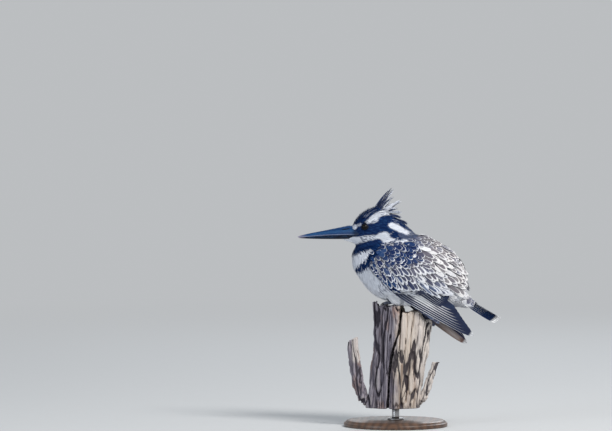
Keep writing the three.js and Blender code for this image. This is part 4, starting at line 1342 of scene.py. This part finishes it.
def under_group(side):
    """Small feathers under the rows, so that no skin shows between them."""
    roots = scatter(f"{side}_wing", even(2.2))
    level = drooped(roots[:, 1:], -COVERT_DROOP[side])
    roots = roots[off_line(level, WING_HEM) > 4.5]
    _, normals, _ = nearest(roots)
    count = len(roots)
    heading = side_heading(side, np.tile((0.74, -0.67), (count, 1)))
    heading = turned_heading(along_skin(heading, normals), normals, 0.2)
    length, half = 7.5 * vary(count, 0.2), 1.4 * vary(count, 0.2)
    points = lay(VANE, roots, heading, length, half, FIRM, np.zeros(count), 1.1 * vary(count, 0.3))
    dark = (CHANCE.random(count) < 0.25) | (roots[:, 1] > 20) | (roots[:, 1] < -6)
    ink = np.where(dark, 0.85, 0.12)
    values = colours(ink, 0.3, 0.5, CHANCE.random(count))
    kept = clear_of_vent(roots) & (roots[:, 1] < RUMP_END)
    return VANE, points[kept], patch_map(roots[kept]), values[kept], PATCH["small"]


for side in SIGN:
    groups = [under_group(side), *(row_group(side, row) for row in ROWS), scapular_group(side)]
    placed(feather_mesh(f"{side}_wing_covers", groups), "plumage", vane_finish)

# %% [markdown]
# ## Flight feathers and tail
# The long feathers are firm, so they don't follow the skin: each is a gentle
# arc from its root to its tip. They are stacked like a closed fan, the inner
# ones outermost, so that only the edge of each shows as a thin white line.

# %% Lay out a fan
WING_FANS = {  # from the innermost feather, which lies on top, to the outermost
    "primaries": {"count": 8, "half": 5.6, "above": 0, "roots": [(12, 158), (-5, 150.6)],
                  "tips": [(65, 128), (75, 113), (85, 99.4)]},
    "secondaries": {"count": 7, "half": 5.4, "above": 8, "roots": [(36, 162), (13, 158)],
                    "tips": [(58, 139.5), (56.5, 135.5), (52, 132)]},
}
STACK = 0.19  # from one feather of a fan down to the next


def wing_plane(level):
    """How far from the bird's middle the closed wing lies, at a place on its side."""
    y, z = level.T
    share = ((y + 5) * 0.87 + (150.6 - z) * 0.49) / 103.5
    return 23.4 - 9.5 * share + 3.0 * share * (1 - share)


def wing_fan(side, name):
    """The points and plumage values of one fan's feathers."""
    fan = WING_FANS[name]
    sign, droop = SIGN[side], QUILL_DROOP[side]
    shares = np.linspace(0, 1, fan["count"])
    roots = drooped(along_line(fan["roots"], shares), droop)
    tips = drooped(along_line(fan["tips"], shares), droop)
    points, values = [], []
    for index, (root, tip) in enumerate(zip(roots, tips)):
        a, b = np.array([0.0, *root]), np.array([0.0, *tip])
        bend = (a + b) / 2 + np.array([0.0, 0.6, 1.2])
        places = arc_feather(QUILL, a, bend, b, (sign, 0.0, 0.0), fan["half"], THIN)
        level = drooped(places[:, 1:], -droop)
        places[:, 0] += sign * (wing_plane(level) + (fan["above"] + fan["count"] - index) * STACK)
        points.append(places)
        values.append(flight_colours(name, shares[index], sign))
    return points, values


def flight_colours(name, share, sign):
    """Black with a white edge, broadest on the inner primaries; below, dark near the root, the feather's
    black with painted shade, and brown to the tip with a tan stripe, painted sunlight shining through.
    """
    shape = QUILL[0]
    upward = shape[:, 0] * -sign  # -1 at the feather's lower edge, 1 at its upper one
    ink = np.full(len(shape), 1.0 - 0.02 * CHANCE.uniform(0.85, 1.1))
    under = shape[:, 2] < -0.01
    # painted light: below, sunlight shining through the feather is painted as brown towards the tip with a
    # tan stripe, and the part near the root stays dark, partly as painted shade
    sunlit_through = smooth((shape[:, 1] - 0.45) / 0.25) * smooth((0.45 - upward) / 0.3)
    stripe = sunlit_through * smooth((0.45 - np.abs(upward + 0.25)) / 0.25) * smooth((0.93 - shape[:, 1]) / 0.06)
    ink = np.where(under, 1.0 - 0.42 * stripe, ink)
    hue = np.where(under, 0.12 + 0.88 * sunlit_through, 0.03)
    inner = smooth((0.74 - share) / 0.35)
    patch = smooth((shape[:, 1] - 0.18) / 0.12) * smooth((0.58 - shape[:, 1]) / 0.14)
    edge = 0.11 + (0.11 + 0.22 * patch) * inner if name == "primaries" else 0.07
    wide = np.array([np.abs(shape[np.abs(shape[:, 1] - along) < 0.01, 0]).max() for along in shape[:, 1]])
    white_tip = 0.95 if name == "primaries" and share > 0.95 else 0.0
    return np.column_stack([ink, 1 - wide * (1 - edge), hue, np.full(len(ink), white_tip)])


def strip_map(count, index, shape):
    """Its own strip of the flat map for each long feather."""
    wide = 1.0 / count
    return np.column_stack([(index + 0.5 + shape[:, 0] * 0.42) * wide, 0.02 + shape[:, 1] * 0.96])


def quill_mesh(name, points, values):
    """Long feathers joined; each has a strip of the map to itself."""
    shape = QUILL[0]
    groups = [(QUILL, np.array(points), np.zeros((len(points), 2)), np.array(values), 0.0)]
    piece = feather_mesh(name, groups)
    strips = np.concatenate([strip_map(len(points), index, shape) for index in range(len(points))])
    corners = np.empty(len(piece.data.loops), np.int32)
    piece.data.loops.foreach_get("vertex_index", corners)
    piece.data.uv_layers["OFBake"].data.foreach_set("uv", strips[corners].ravel())
    return piece


def flight_finish(name, panelled):
    """Blue-black, its blue partly painted sky reflection with clouds of painted lighter blue sheen, with a
    thin white outer edge, fine slanting barbs and a dark shaft; wings have a pale panel.
    """
    finish = Finish(name, Specular_IOR_Level=0.07)
    ink, edge, hue = finish.parts(finish.attribute("plumage", "Color"))
    white_tip = finish.attribute("plumage", "Alpha")
    across, along, _ = finish.parts(finish.node("ShaderNodeUVMap", {"uv_map": "vane"}))
    cloud = finish.grain(finish.place(), 120.0, 3.0)
    pale = finish.mix(cloud, (0.52, 0.54, 0.57), (0.78, 0.79, 0.80))
    # hue 1 is brown: on the far wing's undersides it is painted sunlight shining through the feather; the
    # tail's undersides take part of it
    dark = finish.mix(hue, (0.003, 0.010, 0.042), (0.165, 0.086, 0.052))
    # painted sheen: clouds of lighter blue on the dark, whose own blue is partly painted sky reflection
    dark = finish.mix(cloud.step(0.4, 0.8) * 0.35, dark, (0.012, 0.048, 0.130))
    tip = along.step(0.945, 0.975) * white_tip
    barbs = ((along * 150.0 + abs(across) * -14.0) * FULL_TURN).sum("SINE")
    strength = 0.92
    if panelled:
        _, y, _ = finish.parts(finish.place())
        y = (y + (cloud - 0.5) * 0.006) * 1000.0
        panel = y.step(17.0, 24.0) * (1.0 - y.step(46.0, 70.0))
        bright = panel * (1.0 - y.step(39.0, 47.0))
        strength = 0.42 + panel * 0.34 + bright * 0.20 + barbs * 0.05
    white_edge = abs(across).step(1.0 - edge, 1.0 - edge * 0.8)
    white_edge = white_edge * (1.0 - along.step(0.90, 0.98) * (1.0 - white_tip)) * strength
    shaft = 1.0 - abs(across).step(0.02, 0.055)
    ink = ink * (1.0 - white_edge) * (1.0 - tip * 0.9)
    ink = ink + (1.0 - ink) * shaft * 0.5
    dark = finish.mix(barbs.step(-0.2, 1.0) * 0.3, dark, (0.015, 0.030, 0.068))
    colour = finish.mix(ink, pale, dark)
    bumps = finish.bump(barbs * 0.2 + shaft * 1.5, 0.4, 0.12)
    return finish.feed(Base_Color=colour, Roughness=0.52 - ink * 0.12, Normal=bumps)


# %% Line the under side of the wings
def lining_group(side, count=46):
    """Feathers under the long ones, which close the gap between the wing and the flank, painted dark as the
    shade there.
    """
    sign = SIGN[side]
    points, roots = [], []
    for share, aside in zip(CHANCE.random(count), CHANCE.random(count)):
        level = drooped([[14 + 26 * share, 138.0 - 18.0 * share]], QUILL_DROOP[side])
        inward = sign * (wing_plane(level)[0] - 1.0 - 2.5 * aside)
        root = np.array([inward, *level[0]])
        tip = root + np.array([-sign * 0.8, 8.5, -8.0 + 1.5 * aside])
        points.append(arc_feather(COVER, root, (root + tip) / 2, tip, (sign, 0.0, 0.0), 2.4, THIN))
        roots.append(root)
    # painted shade: the lining feathers are all coloured near black
    values = colours(CHANCE.uniform(0.9, 1.0, count), 0.03, 0.25, CHANCE.random(count))
    return COVER, np.array(points), patch_map(np.array(roots)), values, PATCH["middle"]


for side in SIGN:
    placed(feather_mesh(f"{side}_wing_lining", [lining_group(side)]), "dark_plumage", vane_finish)

# %% Lay both wings' flight feathers
flight = flight_finish("flight_feathers", panelled=True)
for side in SIGN:
    for name in WING_FANS:
        piece = quill_mesh(f"{side}_{name}", *wing_fan(side, name))
        placed(piece, "dark_plumage", flight, f"wing_{side}_{name}")

# %% Lay the tail
TAIL = {"pairs": 6, "root": (58.0, 150.2), "tip": (114.0, 117.4), "root_spread": 3.0, "tip_spread": 8.6,
        "drop": 6.6, "shorter": 2.8, "half": 3.6}


def tail_feathers():
    """Pairs of feathers from side to side, the outer ones lower and a little shorter."""
    root, tip = np.array(TAIL["root"]), np.array(TAIL["tip"])
    reach = unit(tip - root)
    below = np.array([reach[1], -reach[0]])
    points, values = [], []
    pairs = TAIL["pairs"]
    for index in range(pairs * 2):
        across = (index - (pairs * 2 - 1) / 2) / (pairs - 0.5)
        outward = abs(across)
        end = tip - reach * TAIL["shorter"] * outward**2 + below * TAIL["drop"] * outward**1.6
        start = root - np.array([0.0, 5.0 * outward])
        a = np.array([across * TAIL["root_spread"], *start])
        b = np.array([across * TAIL["tip_spread"], *end])
        face = np.array([across * 0.75, -below[0], -below[1]])
        lift = np.array([0, 0, -0.5 - outward * 0.2])
        places = arc_feather(QUILL, a, (a + b) / 2 + lift, b, face, TAIL["half"], 0.08)
        points.append(places)
        values.append(tail_colours(QUILL[0]))
    return points, values


def tail_colours(shape):
    """White at the root and tip, with a broad blue-black band between and white spots by it."""
    along = shape[:, 1]
    band = smooth((along - 0.44) / 0.06) * smooth((0.945 - along) / 0.03)
    bar = stroke_share(np.column_stack([along * 10, shape[:, 0]]), [(2.5, -0.3), (2.5, 0.3)], 0.7, 0.4)
    ink = np.maximum(band, bar * 0.8)
    under = shape[:, 2] < -0.01
    ink = np.where(under, ink * 0.75, ink)
    return np.column_stack([ink, np.full(len(ink), 0.10), np.where(under, 0.6, 0.0), np.ones(len(ink))])


tail_finish = flight_finish("tail_feathers", panelled=False)
placed(quill_mesh("tail_feathers", *tail_feathers()), "dark_plumage", tail_finish, "tail")


# %% Cover the tail's root
COVER_RINGS = (-4.0, -1.0, 2.0, 5.0, 8.5, 12.0, 16.0, 20.0)  # where each ring's roots lie along the tail
# Along the tail, how deep and how wide its root is.
TAIL_SIZES = [(0.0, 9.0, 11.5), (13.0, 8.0, 10.0), (26.0, 5.9, 8.2), (36.0, 4.4, 7.0)]


def round_tail(reach, turn, share):
    """A place round the tail's root: how far along, the angle from its upper side, and how far out."""
    along, deep, wide = np.array(TAIL_SIZES).T
    way = unit(np.array(TAIL["tip"]) - np.array(TAIL["root"]))
    above = math.cos(turn) * np.interp(reach, along, deep) * share - 3.6
    level = np.array(TAIL["root"]) + way * reach + np.array([-way[1], way[0]]) * above
    return np.array([math.sin(turn) * np.interp(reach, along, wide) * share, *level])


def tail_cover_group(around=17):
    """Rings of feathers that narrow from the rump to the tail, dark above and white below."""
    points, roots, ink = [], [], []
    for ring, start in enumerate(COVER_RINGS):
        for step in range(around):
            turn = 2 * math.pi * (step + ring % 2 / 2 + CHANCE.uniform(-0.3, 0.3)) / around
            reach, long = start + CHANCE.uniform(-1.5, 1.5), CHANCE.uniform(12, 15)
            top = 1.06 - 0.03 * ring
            root = round_tail(reach, turn, 0.78 * top)
            bend = round_tail(reach + long * 0.5, turn, 1.04 * top)
            tip = round_tail(reach + long, turn, top)
            face = round_tail(reach + long * 0.5, turn, 2.0) - bend
            points.append(arc_feather(COVER, root, bend, tip, face, CHANCE.uniform(1.9, 2.5), THIN, 0.03))
            roots.append(root)
            upper = math.cos(turn) + CHANCE.uniform(-0.35, 0.35)
            ink.append(0.92 if upper > 0.0 and CHANCE.random() < 0.9 else 0.03)
    count = len(roots)
    values = colours(np.array(ink), 0.13 * vary(count, 0.3), 0.5, CHANCE.random(count))
    return COVER, np.array(points), patch_map(np.array(roots)), values, PATCH["middle"]


def rump_group():
    """Short feathers over the end of the body, like the back's above and soft and white below."""
    tracts = ("belly", "back", "left_wing", "right_wing")
    roots = np.concatenate([scatter(tract, even(2.2)) for tract in tracts])
    y, z = roots[:, 1], roots[:, 2]
    roots = roots[((y > 53) & (z < 154) | (y > 65)) & (y < 81) & ((y < 73) | (z > 136))]
    _, normals, _ = nearest(roots)
    count = len(roots)
    y, z = roots[:, 1], roots[:, 2]
    upper = z + CHANCE.normal(0, 1.5, count) > 153
    heading = turned_heading(along_skin(lie_at(roots), normals), normals, 0.2)
    length = 9.0 - 3.4 * smooth((y - 62) / 10) * smooth((160 - z) / 8)
    length, half = length * vary(count, 0.2), 2.2 * vary(count, 0.2)
    high = 1.3 * vary(count, 0.3)
    points = lay(COVER, roots, heading, length, half, FIRM, np.zeros(count), high, stiff=0.35)
    chance = CHANCE.random(count)
    rare = chance < 0.12
    ink = np.where(upper, np.where(rare, 0.08, 0.92 - 0.2 * chance), np.where(rare, 0.4, 0.02))
    values = colours(ink, np.where(upper, 0.28, 0.2), np.where(upper, 0.95, 0.6), CHANCE.random(count))
    return COVER, points, patch_map(roots), values, PATCH["middle"]


tail_groups = [tail_cover_group(), rump_group()]
placed(feather_mesh("tail_covers", tail_groups), "plumage", vane_finish)

# %% [markdown]
# ## The crest
# Long loose plumes stand up from the hind crown: a black tuft in front with
# white plumes among it, and white plumes behind that fall back to the nape.
# Each clump opens towards its tip, so that its ends are ragged.

# %% Stand the crest up
CREST = (  # root y, z, tip y, z, tip x, number, share of black plumes, spread
    (-25, 233.5, -17.5, 240.5, 0.0, 50, 1.0, 1.3),
    (-22, 234.0, -13.0, 247.4, 0.0, 64, 1.0, 1.1),
    (-21, 234.0, -8.0, 254.8, 0.0, 44, 0.96, 0.8),
    (-19, 234.0, -4.4, 258.2, 0.3, 32, 0.62, 0.5),
    (-18, 234.0, -1.8, 256.4, 1.2, 28, 0.42, 0.6),
    (-18, 234.0, -2.4, 255.4, -1.2, 28, 0.42, 0.6),
    (-16, 233.5, -2.4, 248.6, 1.8, 26, 0.45, 0.9),
    (-16, 233.5, -3.4, 247.6, -1.8, 26, 0.45, 0.9),
    (-14, 232.5, -5.0, 241.0, 0.0, 30, 0.35, 1.6),
    (-13, 231.5, 5.4, 244.2, 1.3, 56, 0.02, 0.55),
    (-13, 231.0, 5.6, 242.4, -1.3, 50, 0.02, 0.6),
    (-12, 230.5, 0.5, 237.4, 2.4, 26, 0.05, 1.4),
    (-12, 230.5, 0.5, 237.0, -2.4, 26, 0.05, 1.4),
    (-12, 229.5, 2.8, 235.4, 0.0, 16, 0.85, 0.8),
    (-10.5, 227.5, 6.2, 231.4, 2.4, 70, 0.01, 1.0),
    (-10.5, 227.5, 5.8, 230.6, -2.4, 70, 0.01, 1.0),
    (-8, 225.0, 6.2, 225.4, 2.6, 40, 0.9, 1.2),
    (-8, 225.0, 6.0, 225.0, -2.6, 40, 0.9, 1.2),
    (0, 220.5, 12.4, 218.4, 2.4, 38, 0.92, 1.2),
    (0, 220.5, 12.2, 218.2, -2.4, 38, 0.92, 1.2),
)
STRAND = feather_pattern("strand", 4, [(0.0, 0.6, 0.8), (0.2, 1.0, 1.0), (0.45, 0.9, 0.9), (0.68, 0.68, 0.8),
                                       (0.86, 0.42, 0.6)])


def crest_group():
    """The crest's strands, with their places on the map stretched to fill it."""
    points, spots, values = [], [], []
    for root_y, root_z, tip_y, tip_z, tip_x, number, ink, spread in CREST:
        for _ in range(number):
            aside, ahead = CHANCE.normal(0, 1.0, 2)
            root = (tip_x * 0.5 + aside * 1.5, root_y + ahead * 1.5, root_z + 1.5)
            foot = np.array(skin_tree.find_nearest(root)[0])
            tip = np.array([tip_x, tip_y, tip_z]) + CHANCE.normal(0, 1.0, 3) * spread * (0.8, 0.8, 0.7)
            tip = foot + (tip - foot) * CHANCE.uniform(0.74, 1.03)
            bow = -1.0 if root_y < -21.5 else 1.2  # the front ones rise out of the crown
            bend = (foot + tip) / 2 + (aside * 0.5, -bow, bow)
            face = unit(np.array([CHANCE.normal(0, 1), -0.5, 0.7]))
            points.append(arc_feather(STRAND, foot, bend, tip, face, CHANCE.uniform(0.28, 0.52), THIN))
            spots.append(foot)
            values.append((0.97 if CHANCE.random() < ink else 0.03, 0.0, 0.08, CHANCE.random()))
    places = patch_map(np.array(spots))
    low, high = places.min(0), places.max(0)
    places = (places - low) / (high - low) * 0.97 + 0.015
    return STRAND, np.array(points), places, np.array(values), PATCH["strand"]


placed(feather_mesh("crest_plumes", [crest_group()]), "dark_plumage", down_finish, "crest")

# %% [markdown]
# ## The bill
# Two long straight sheaths of black horn meet along a fine line. The upper
# one has a ridge and a narrow nostril slit near the face, and the tips are
# paler. The upper sheath's blue sheen and its pale lines are painted highlights.
# A ring of points is extruded from face to tip and each ring then takes its own
# section: a roof for the upper sheath and a keel for the lower.

# %% Stretch a skin over rings
def lofted(name, rings):
    """A circle extruded once for each ring, whose points then take their places."""
    sides = len(rings[0])
    deselect()
    bpy.ops.mesh.primitive_circle_add(vertices=sides, radius=1.0, fill_type="NGON")
    piece = bpy.context.object
    piece.name = piece.data.name = name
    edit_all()
    for _ in rings[1:]:
        bpy.ops.mesh.extrude_region_move(TRANSFORM_OT_translate={"value": (0, 0, 1.0)})
    bpy.ops.object.mode_set(mode="OBJECT")
    start = points_of(piece) * MM
    level = np.rint(start[:, 2]).astype(int)
    turn = np.rint(np.arctan2(start[:, 1], start[:, 0]) / (2 * math.pi) * sides).astype(int) % sides
    move_points(piece, np.array(rings, float)[level, turn])
    face_outwards()
    bpy.ops.object.shade_smooth_by_angle(angle=math.radians(50))
    return piece


def eased(rows, count):
    """Rows of values passed through smoothly, at count even steps."""
    rows = np.array(rows, float)
    padded = np.vstack([2 * rows[0] - rows[1], rows, 2 * rows[-1] - rows[-2]])
    result = []
    for place in np.linspace(0, len(rows) - 1, count):
        i = min(int(place), len(rows) - 2)
        t = place - i
        a, b, c, d = padded[i:i + 4]
        result.append(0.5 * (2 * b + (c - a) * t + (2 * a - 5 * b + 4 * c - d) * t**2
                             + (3 * b - a - 3 * c + d) * t**3))
    return np.array(result)


# %% Shape both sheaths
UPPER = (  # y, ridge, cutting edge, half width
    (-35, 209.8, 208.3, 11.2), (-38, 211.0, 208.0, 12.1), (-42, 213.8, 207.6, 11.4),
    (-48, 217.0, 207.3, 8.0), (-60, 214.8, 206.8, 5.2), (-76.5, 211.4, 206.0, 3.4),
    (-91.5, 208.4, 204.8, 2.0), (-101, 206.3, 203.9, 1.1), (-105.4, 204.9, 203.6, 0.45),
    (-106.3, 204.3, 203.7, 0.12))
LOWER = (  # y, top, keel, half width
    (-35, 208.5, 205.4, 11.0), (-38, 208.2, 204.8, 11.8), (-42, 207.8, 203.8, 11.0), (-48, 207.5, 202.6, 7.7),
    (-58, 207.1, 202.0, 5.2), (-70, 206.5, 201.9, 3.6), (-84, 205.6, 202.0, 2.3), (-98, 204.2, 202.4, 1.1),
    (-103.6, 203.8, 202.8, 0.45), (-104.8, 203.7, 203.0, 0.12))
SHEATH_SIDES = 28


def sheath(name, rows, up):
    """One half of the bill, round on its outer side and nearly flat on its inner one."""
    rings = []
    turns = np.arange(SHEATH_SIDES) / SHEATH_SIDES * 2 * math.pi
    outer = np.maximum(np.cos(turns), 0.0) ** 0.9
    hollow = np.minimum(np.cos(turns), 0.0) * 0.06
    for y, ridge, edge, half in eased(rows, 56):
        if up:
            z = edge + (ridge - edge) * (outer - hollow)
        else:
            z = ridge - (ridge - edge) * (outer - hollow)
        rings.append(np.column_stack([half * np.sin(turns), np.full(SHEATH_SIDES, y), z]))
    return lofted(name, rings)


def horn():
    """Black horn with a painted blue sheen on the upper sheath, a painted highlight band along it and a
    painted highlight line along the cutting edge, fine lines along it, a nostril slit and a paler tip.
    """
    finish = Finish("bill_horn", Coat_Roughness=0.3, Coat_Weight=0.04, Specular_IOR_Level=0.14)
    here = finish.place()
    _, y, z = finish.parts(here)
    lines = finish.grain(finish.place(scale=(1, 0.05, 1)), 1500.0, 4.0)
    cloud = finish.grain(here, 90.0, 3.0)
    y, z = y * 1000.0, z * 1000.0
    pale_tip_share = (y * -1.0 - cloud * 9.0).step(92.0, 103.0)
    mouth = 206.1 + (y + 76.0) * 0.052 - (y + 70.0) * (y + 70.0) * 0.0009  # the height of the mouth line
    above = (z - mouth).step(-0.5, 0.6)
    # painted sheen: the upper sheath above the mouth line is painted blue, the lower one near black
    colour = finish.mix(above, (0.003, 0.005, 0.014), (0.004, 0.026, 0.096))
    # painted highlight: a lighter blue band along the upper sheath's middle; the fine lines take the same
    # lighter blue
    middle = 1.0 - abs(z - mouth - (y + 112.0) * 0.07).step(0.3, 2.2)
    colour = finish.mix(lines.step(0.36, 0.76) * 0.45 + middle * above * 0.35, colour, (0.022, 0.092, 0.225))
    # painted highlight: a pale line along the cutting edge, just above the mouth line
    edge = (1.0 - abs(z - mouth - 0.25).step(0.10, 0.75)) * (0.5 + lines * 0.5)
    colour = finish.mix(edge * 0.8, colour, (0.22, 0.25, 0.36))
    base = y.step(-48.0, -42.0)
    colour = finish.mix(base * 0.8, colour, (0.006, 0.012, 0.030))
    # paler towards the tip
    colour = finish.mix(pale_tip_share * 0.7, colour, (0.34, 0.29, 0.34))
    slit = abs(z - 213.0 - (y + 53.0) * 0.12) + abs((y + 53.5) / 5.0) ** 4.0 * 0.7
    nostril = 1.0 - slit.step(0.3, 0.75)
    colour = finish.mix(nostril, colour, (0.004, 0.004, 0.006))
    relief = lines * 0.3 + cloud * 0.4 - nostril * 2.5
    return finish.feed(Base_Color=colour, Roughness=0.30 + lines * 0.14 + base * 0.35,
                       Normal=finish.bump(relief, 0.5, 0.3))


bill_finish = horn()
placed(sheath("bill_upper_sheath", UPPER, True), "bill", bill_finish, "bill_upper")
placed(sheath("bill_lower_sheath", LOWER, False), "bill", bill_finish, "bill_lower")

# %% [markdown]
# ## The eyes
# A kingfisher's eye is dark brown and nearly fills its opening. The ball is a
# sphere whose front is drawn out into the clear bulge, and a ring of bare
# dark skin, drawn to a corner in front and behind, is its lids.

# %% Make the eyes
LID_RADIUS, LID_THICK = 3.05, 0.66  # the ring of bare skin round the ball
GAZE = {side: unit(np.array([0.95 * sign, -0.27, 0.10])) for side, sign in SIGN.items()}


def eye_place(side):
    low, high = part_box(f"eye_{side}")
    return np.array((low + high) / 2) / MM


def shaped_at_origin(make, side):
    """Makes a piece facing up at the origin, then turns it to the gaze and sets it in the head."""
    deselect()
    piece = make()
    gaze = Vector(GAZE[side])
    across = gaze.cross(Vector((0, 0, 1))).normalized()
    upward = across.cross(gaze).normalized()
    facing = np.array([across, upward, gaze])
    move_points(piece, points_of(piece) @ facing + eye_place(side))
    face_outwards()
    bpy.ops.object.shade_smooth()
    return piece


def ball():
    """The eyeball, each point with how far from the pupil's middle it lies."""
    bpy.ops.mesh.primitive_uv_sphere_add(segments=48, ring_count=28, radius=EYE_RADIUS * MM)
    piece = bpy.context.object
    bpy.ops.object.mode_set(mode="EDIT")
    bpy.ops.mesh.select_all(action="DESELECT")
    bpy.ops.object.mode_set(mode="OBJECT")
    for vertex in piece.data.vertices:
        vertex.select = vertex.co.z > EYE_RADIUS * MM * 0.93
    bpy.ops.object.mode_set(mode="EDIT")
    bpy.ops.transform.translate(value=(0, 0, 0.22 * MM), use_proportional_edit=True,
                                proportional_edit_falloff="SMOOTH", proportional_size=2.2 * MM)
    bpy.ops.object.mode_set(mode="OBJECT")
    local = points_of(piece)
    rim = np.linalg.norm(local[:, :2], axis=1) + np.where(local[:, 2] < 0, 9.0, 0.0)
    piece.data.attributes.new("from_pupil", "FLOAT", "POINT").data.foreach_set("value", rim)
    return piece


def lids():
    """A fleshy ring, drawn to a corner at each end and a little uneven."""
    bpy.ops.mesh.primitive_torus_add(major_segments=56, minor_segments=14, major_radius=LID_RADIUS * MM,
                                     minor_radius=LID_THICK * MM,
                                     location=(0, 0, math.sqrt(EYE_RADIUS**2 - LID_RADIUS**2) * MM))
    piece = bpy.context.object
    bpy.ops.object.transform_apply(location=True)
    edit_all()
    bpy.ops.transform.resize(value=(1.04, 0.93, 1.0), center_override=(0, 0, 0))
    bpy.ops.object.mode_set(mode="OBJECT")
    places = points_of(piece)
    corner = np.clip(np.abs(places[:, 0]) / LID_RADIUS, 0, 1.2) ** 6  # the two corners reach out and sink
    places[:, 0] *= 1 + 0.10 * corner
    places[:, 2] -= 0.35 * corner
    ripple = np.array([noise.noise(Vector(place) * 1.7) for place in places.tolist()])
    places += normals_of(piece) * (ripple * 0.10)[:, None]
    move_points(piece, places)
    return piece


def iris_finish():
    """Dark brown round a black pupil, under a wet clear coat."""
    finish = Finish("eye", Roughness=0.4, Coat_Weight=0.32, Coat_Roughness=0.02, Specular_IOR_Level=0.0)
    rim = finish.attribute("from_pupil")
    threads = finish.grain(finish.place(), 2200.0, 3.0)
    brown = finish.mix(threads, (0.0016, 0.0010, 0.0008), (0.006, 0.0035, 0.0025))
    colour = finish.mix(1.0 - rim.step(1.25, 1.5), brown, (0.0008, 0.0008, 0.001))
    colour = finish.mix(rim.step(2.2, 2.7), colour, (0.004, 0.003, 0.003))
    return finish.feed(Base_Color=colour)


def lid_finish():
    finish = Finish("lids", Roughness=0.6, Specular_IOR_Level=0.12)
    folds = finish.grain(finish.place(), 1500.0, 3.0)
    colour = finish.mix(folds, (0.003, 0.004, 0.008), (0.011, 0.014, 0.024))
    return finish.feed(Base_Color=colour, Normal=finish.bump(folds, 0.6, 0.2))


eye_finish, rim_finish = iris_finish(), lid_finish()
for side in SIGN:
    eye = shaped_at_origin(ball, side)
    eye.name = f"eyeball_{side}"
    placed(eye, "eye", eye_finish, f"eye_{side}")
    ring = shaped_at_origin(lids, side)
    ring.name = f"eyelids_{side}"
    placed(ring, "foot", rim_finish)

# %% [markdown]
# ## Feet and claws
# A kingfisher's feet are small and weak, with the toes partly joined. Each
# toe is a tube of rings along its own arch, swelling at the pads and between
# the scutes, and all of a foot is melted together with its short shank. The
# claws are hooked cones of black horn.

# %% Shape toes and claws
ANKLE = np.array([9.5, 1.5, 133.4])
SHANK_TOP, SHANK_LEAN = 145.5, 3.0
TOE_RADIUS, SHANK_RADIUS = 1.2, 1.55
TOES = {"outer": (-0.42, 13.5), "middle": (-0.08, 14.5), "inner": (0.34, 9.5), "hind": (2.9, 7.5)}
CLAW_LENGTH, CLAW_RADIUS, CLAW_HOOK = 4.6, 0.78, 2.6


def tube(name, middle, radii, sides=14):
    """Rings of the given radii round a path, each square to it."""
    heading = unit(np.gradient(middle, axis=0))
    across = unit(np.cross(heading, np.array([0.0, 0.0, 1.0]) + 1e-3))
    upward = np.cross(across, heading)
    turns = np.arange(sides) / sides * 2 * math.pi
    rings = [m + r * (np.cos(turns)[:, None] * a + np.sin(turns)[:, None] * u)
             for m, r, a, u in zip(middle, radii, across, upward)]
    return lofted(name, rings)


def toe_ends(side, toe):
    """Where a toe starts and ends, and its heading."""
    sign = SIGN[side]
    turn, length = TOES[toe]
    heading = np.array([math.sin(turn) * sign, -math.cos(turn), 0.0])
    start = ANKLE * (sign, 1, 1)
    end = start + heading * length - np.array([0, 0, 1.2 if toe == "hind" else 0.6])
    return start, end, heading


def toe_tube(side, toe):
    start, end, _ = toe_ends(side, toe)
    shares = np.linspace(0, 1, 40)
    scutes = np.abs(np.sin(shares * math.pi * TOES[toe][1] / 1.15)) * 0.09
    pads = 0.10 * np.sin(shares * math.pi * 3) ** 2
    radii = TOE_RADIUS * (1.02 - 0.22 * shares + scutes + pads)
    radii[-3:] *= (0.95, 0.8, 0.45)
    return tube("toe", arc(start, (start + end) / 2 + (0, 0, 1.8), end, shares), radii)


def foot(side):
    """The shank and four toes in one skin."""
    start = ANKLE * (SIGN[side], 1, 1)
    shares = np.linspace(0, 1, 24)
    top = np.array([start[0], start[1] + SHANK_LEAN, SHANK_TOP])
    shank = tube("shank", arc(start - (0, 0, 0.4), (start + top) / 2, top, shares),
                 SHANK_RADIUS * (1 + 0.06 * np.abs(np.sin(shares * 22))))
    return melted(f"foot_{side}", [shank] + [toe_tube(side, toe) for toe in TOES], 0.26, 2)


def claw(side, toe):
    _, end, heading = toe_ends(side, toe)
    tip = end + heading * CLAW_LENGTH * 0.75 - (0, 0, CLAW_HOOK)
    bend = end + heading * CLAW_LENGTH * 0.6
    shares = np.linspace(0, 1, 20)
    radii = CLAW_RADIUS * (1 - shares**1.4) + 0.05
    radii[0] *= 0.7
    return tube(f"claw_{side}_{toe}_horn", arc(end - heading * 0.6, bend, tip, shares), radii, 12)


def scaly_skin():
    """Dark blue-grey skin in small scales with darker edges."""
    finish = Finish("foot_skin")
    here = finish.place()
    cells = finish.node("ShaderNodeTexVoronoi", {"feature": "DISTANCE_TO_EDGE"},
                        {"Vector": here, "Scale": 1150.0}, "Distance")
    cloud = finish.grain(here, 320.0, 3.0)
    edge = 1.0 - cells.step(0.0, 0.14)
    colour = finish.mix(cloud, (0.060, 0.070, 0.105), (0.165, 0.185, 0.260))
    colour = finish.mix(edge * 0.6, colour, (0.020, 0.022, 0.030))
    return finish.feed(Base_Color=colour, Roughness=0.52 + cloud * 0.2,
                       Normal=finish.bump(cells.step(0.0, 0.25), 0.7, 0.2))


def claw_horn():
    finish = Finish("claw_horn", Coat_Weight=0.3, Coat_Roughness=0.2)
    lines = finish.grain(finish.place(), 1800.0, 3.0)
    colour = finish.mix(lines, (0.010, 0.009, 0.011), (0.040, 0.034, 0.036))
    return finish.feed(Base_Color=colour, Roughness=0.28 + lines * 0.2)


foot_finish, claw_finish = scaly_skin(), claw_horn()
for side in SIGN:
    placed(foot(side), "foot", foot_finish, f"leg_{side}")
    for toe in TOES:
        placed(claw(side, toe), "claw", claw_finish, f"claw_{side}_{toe}")
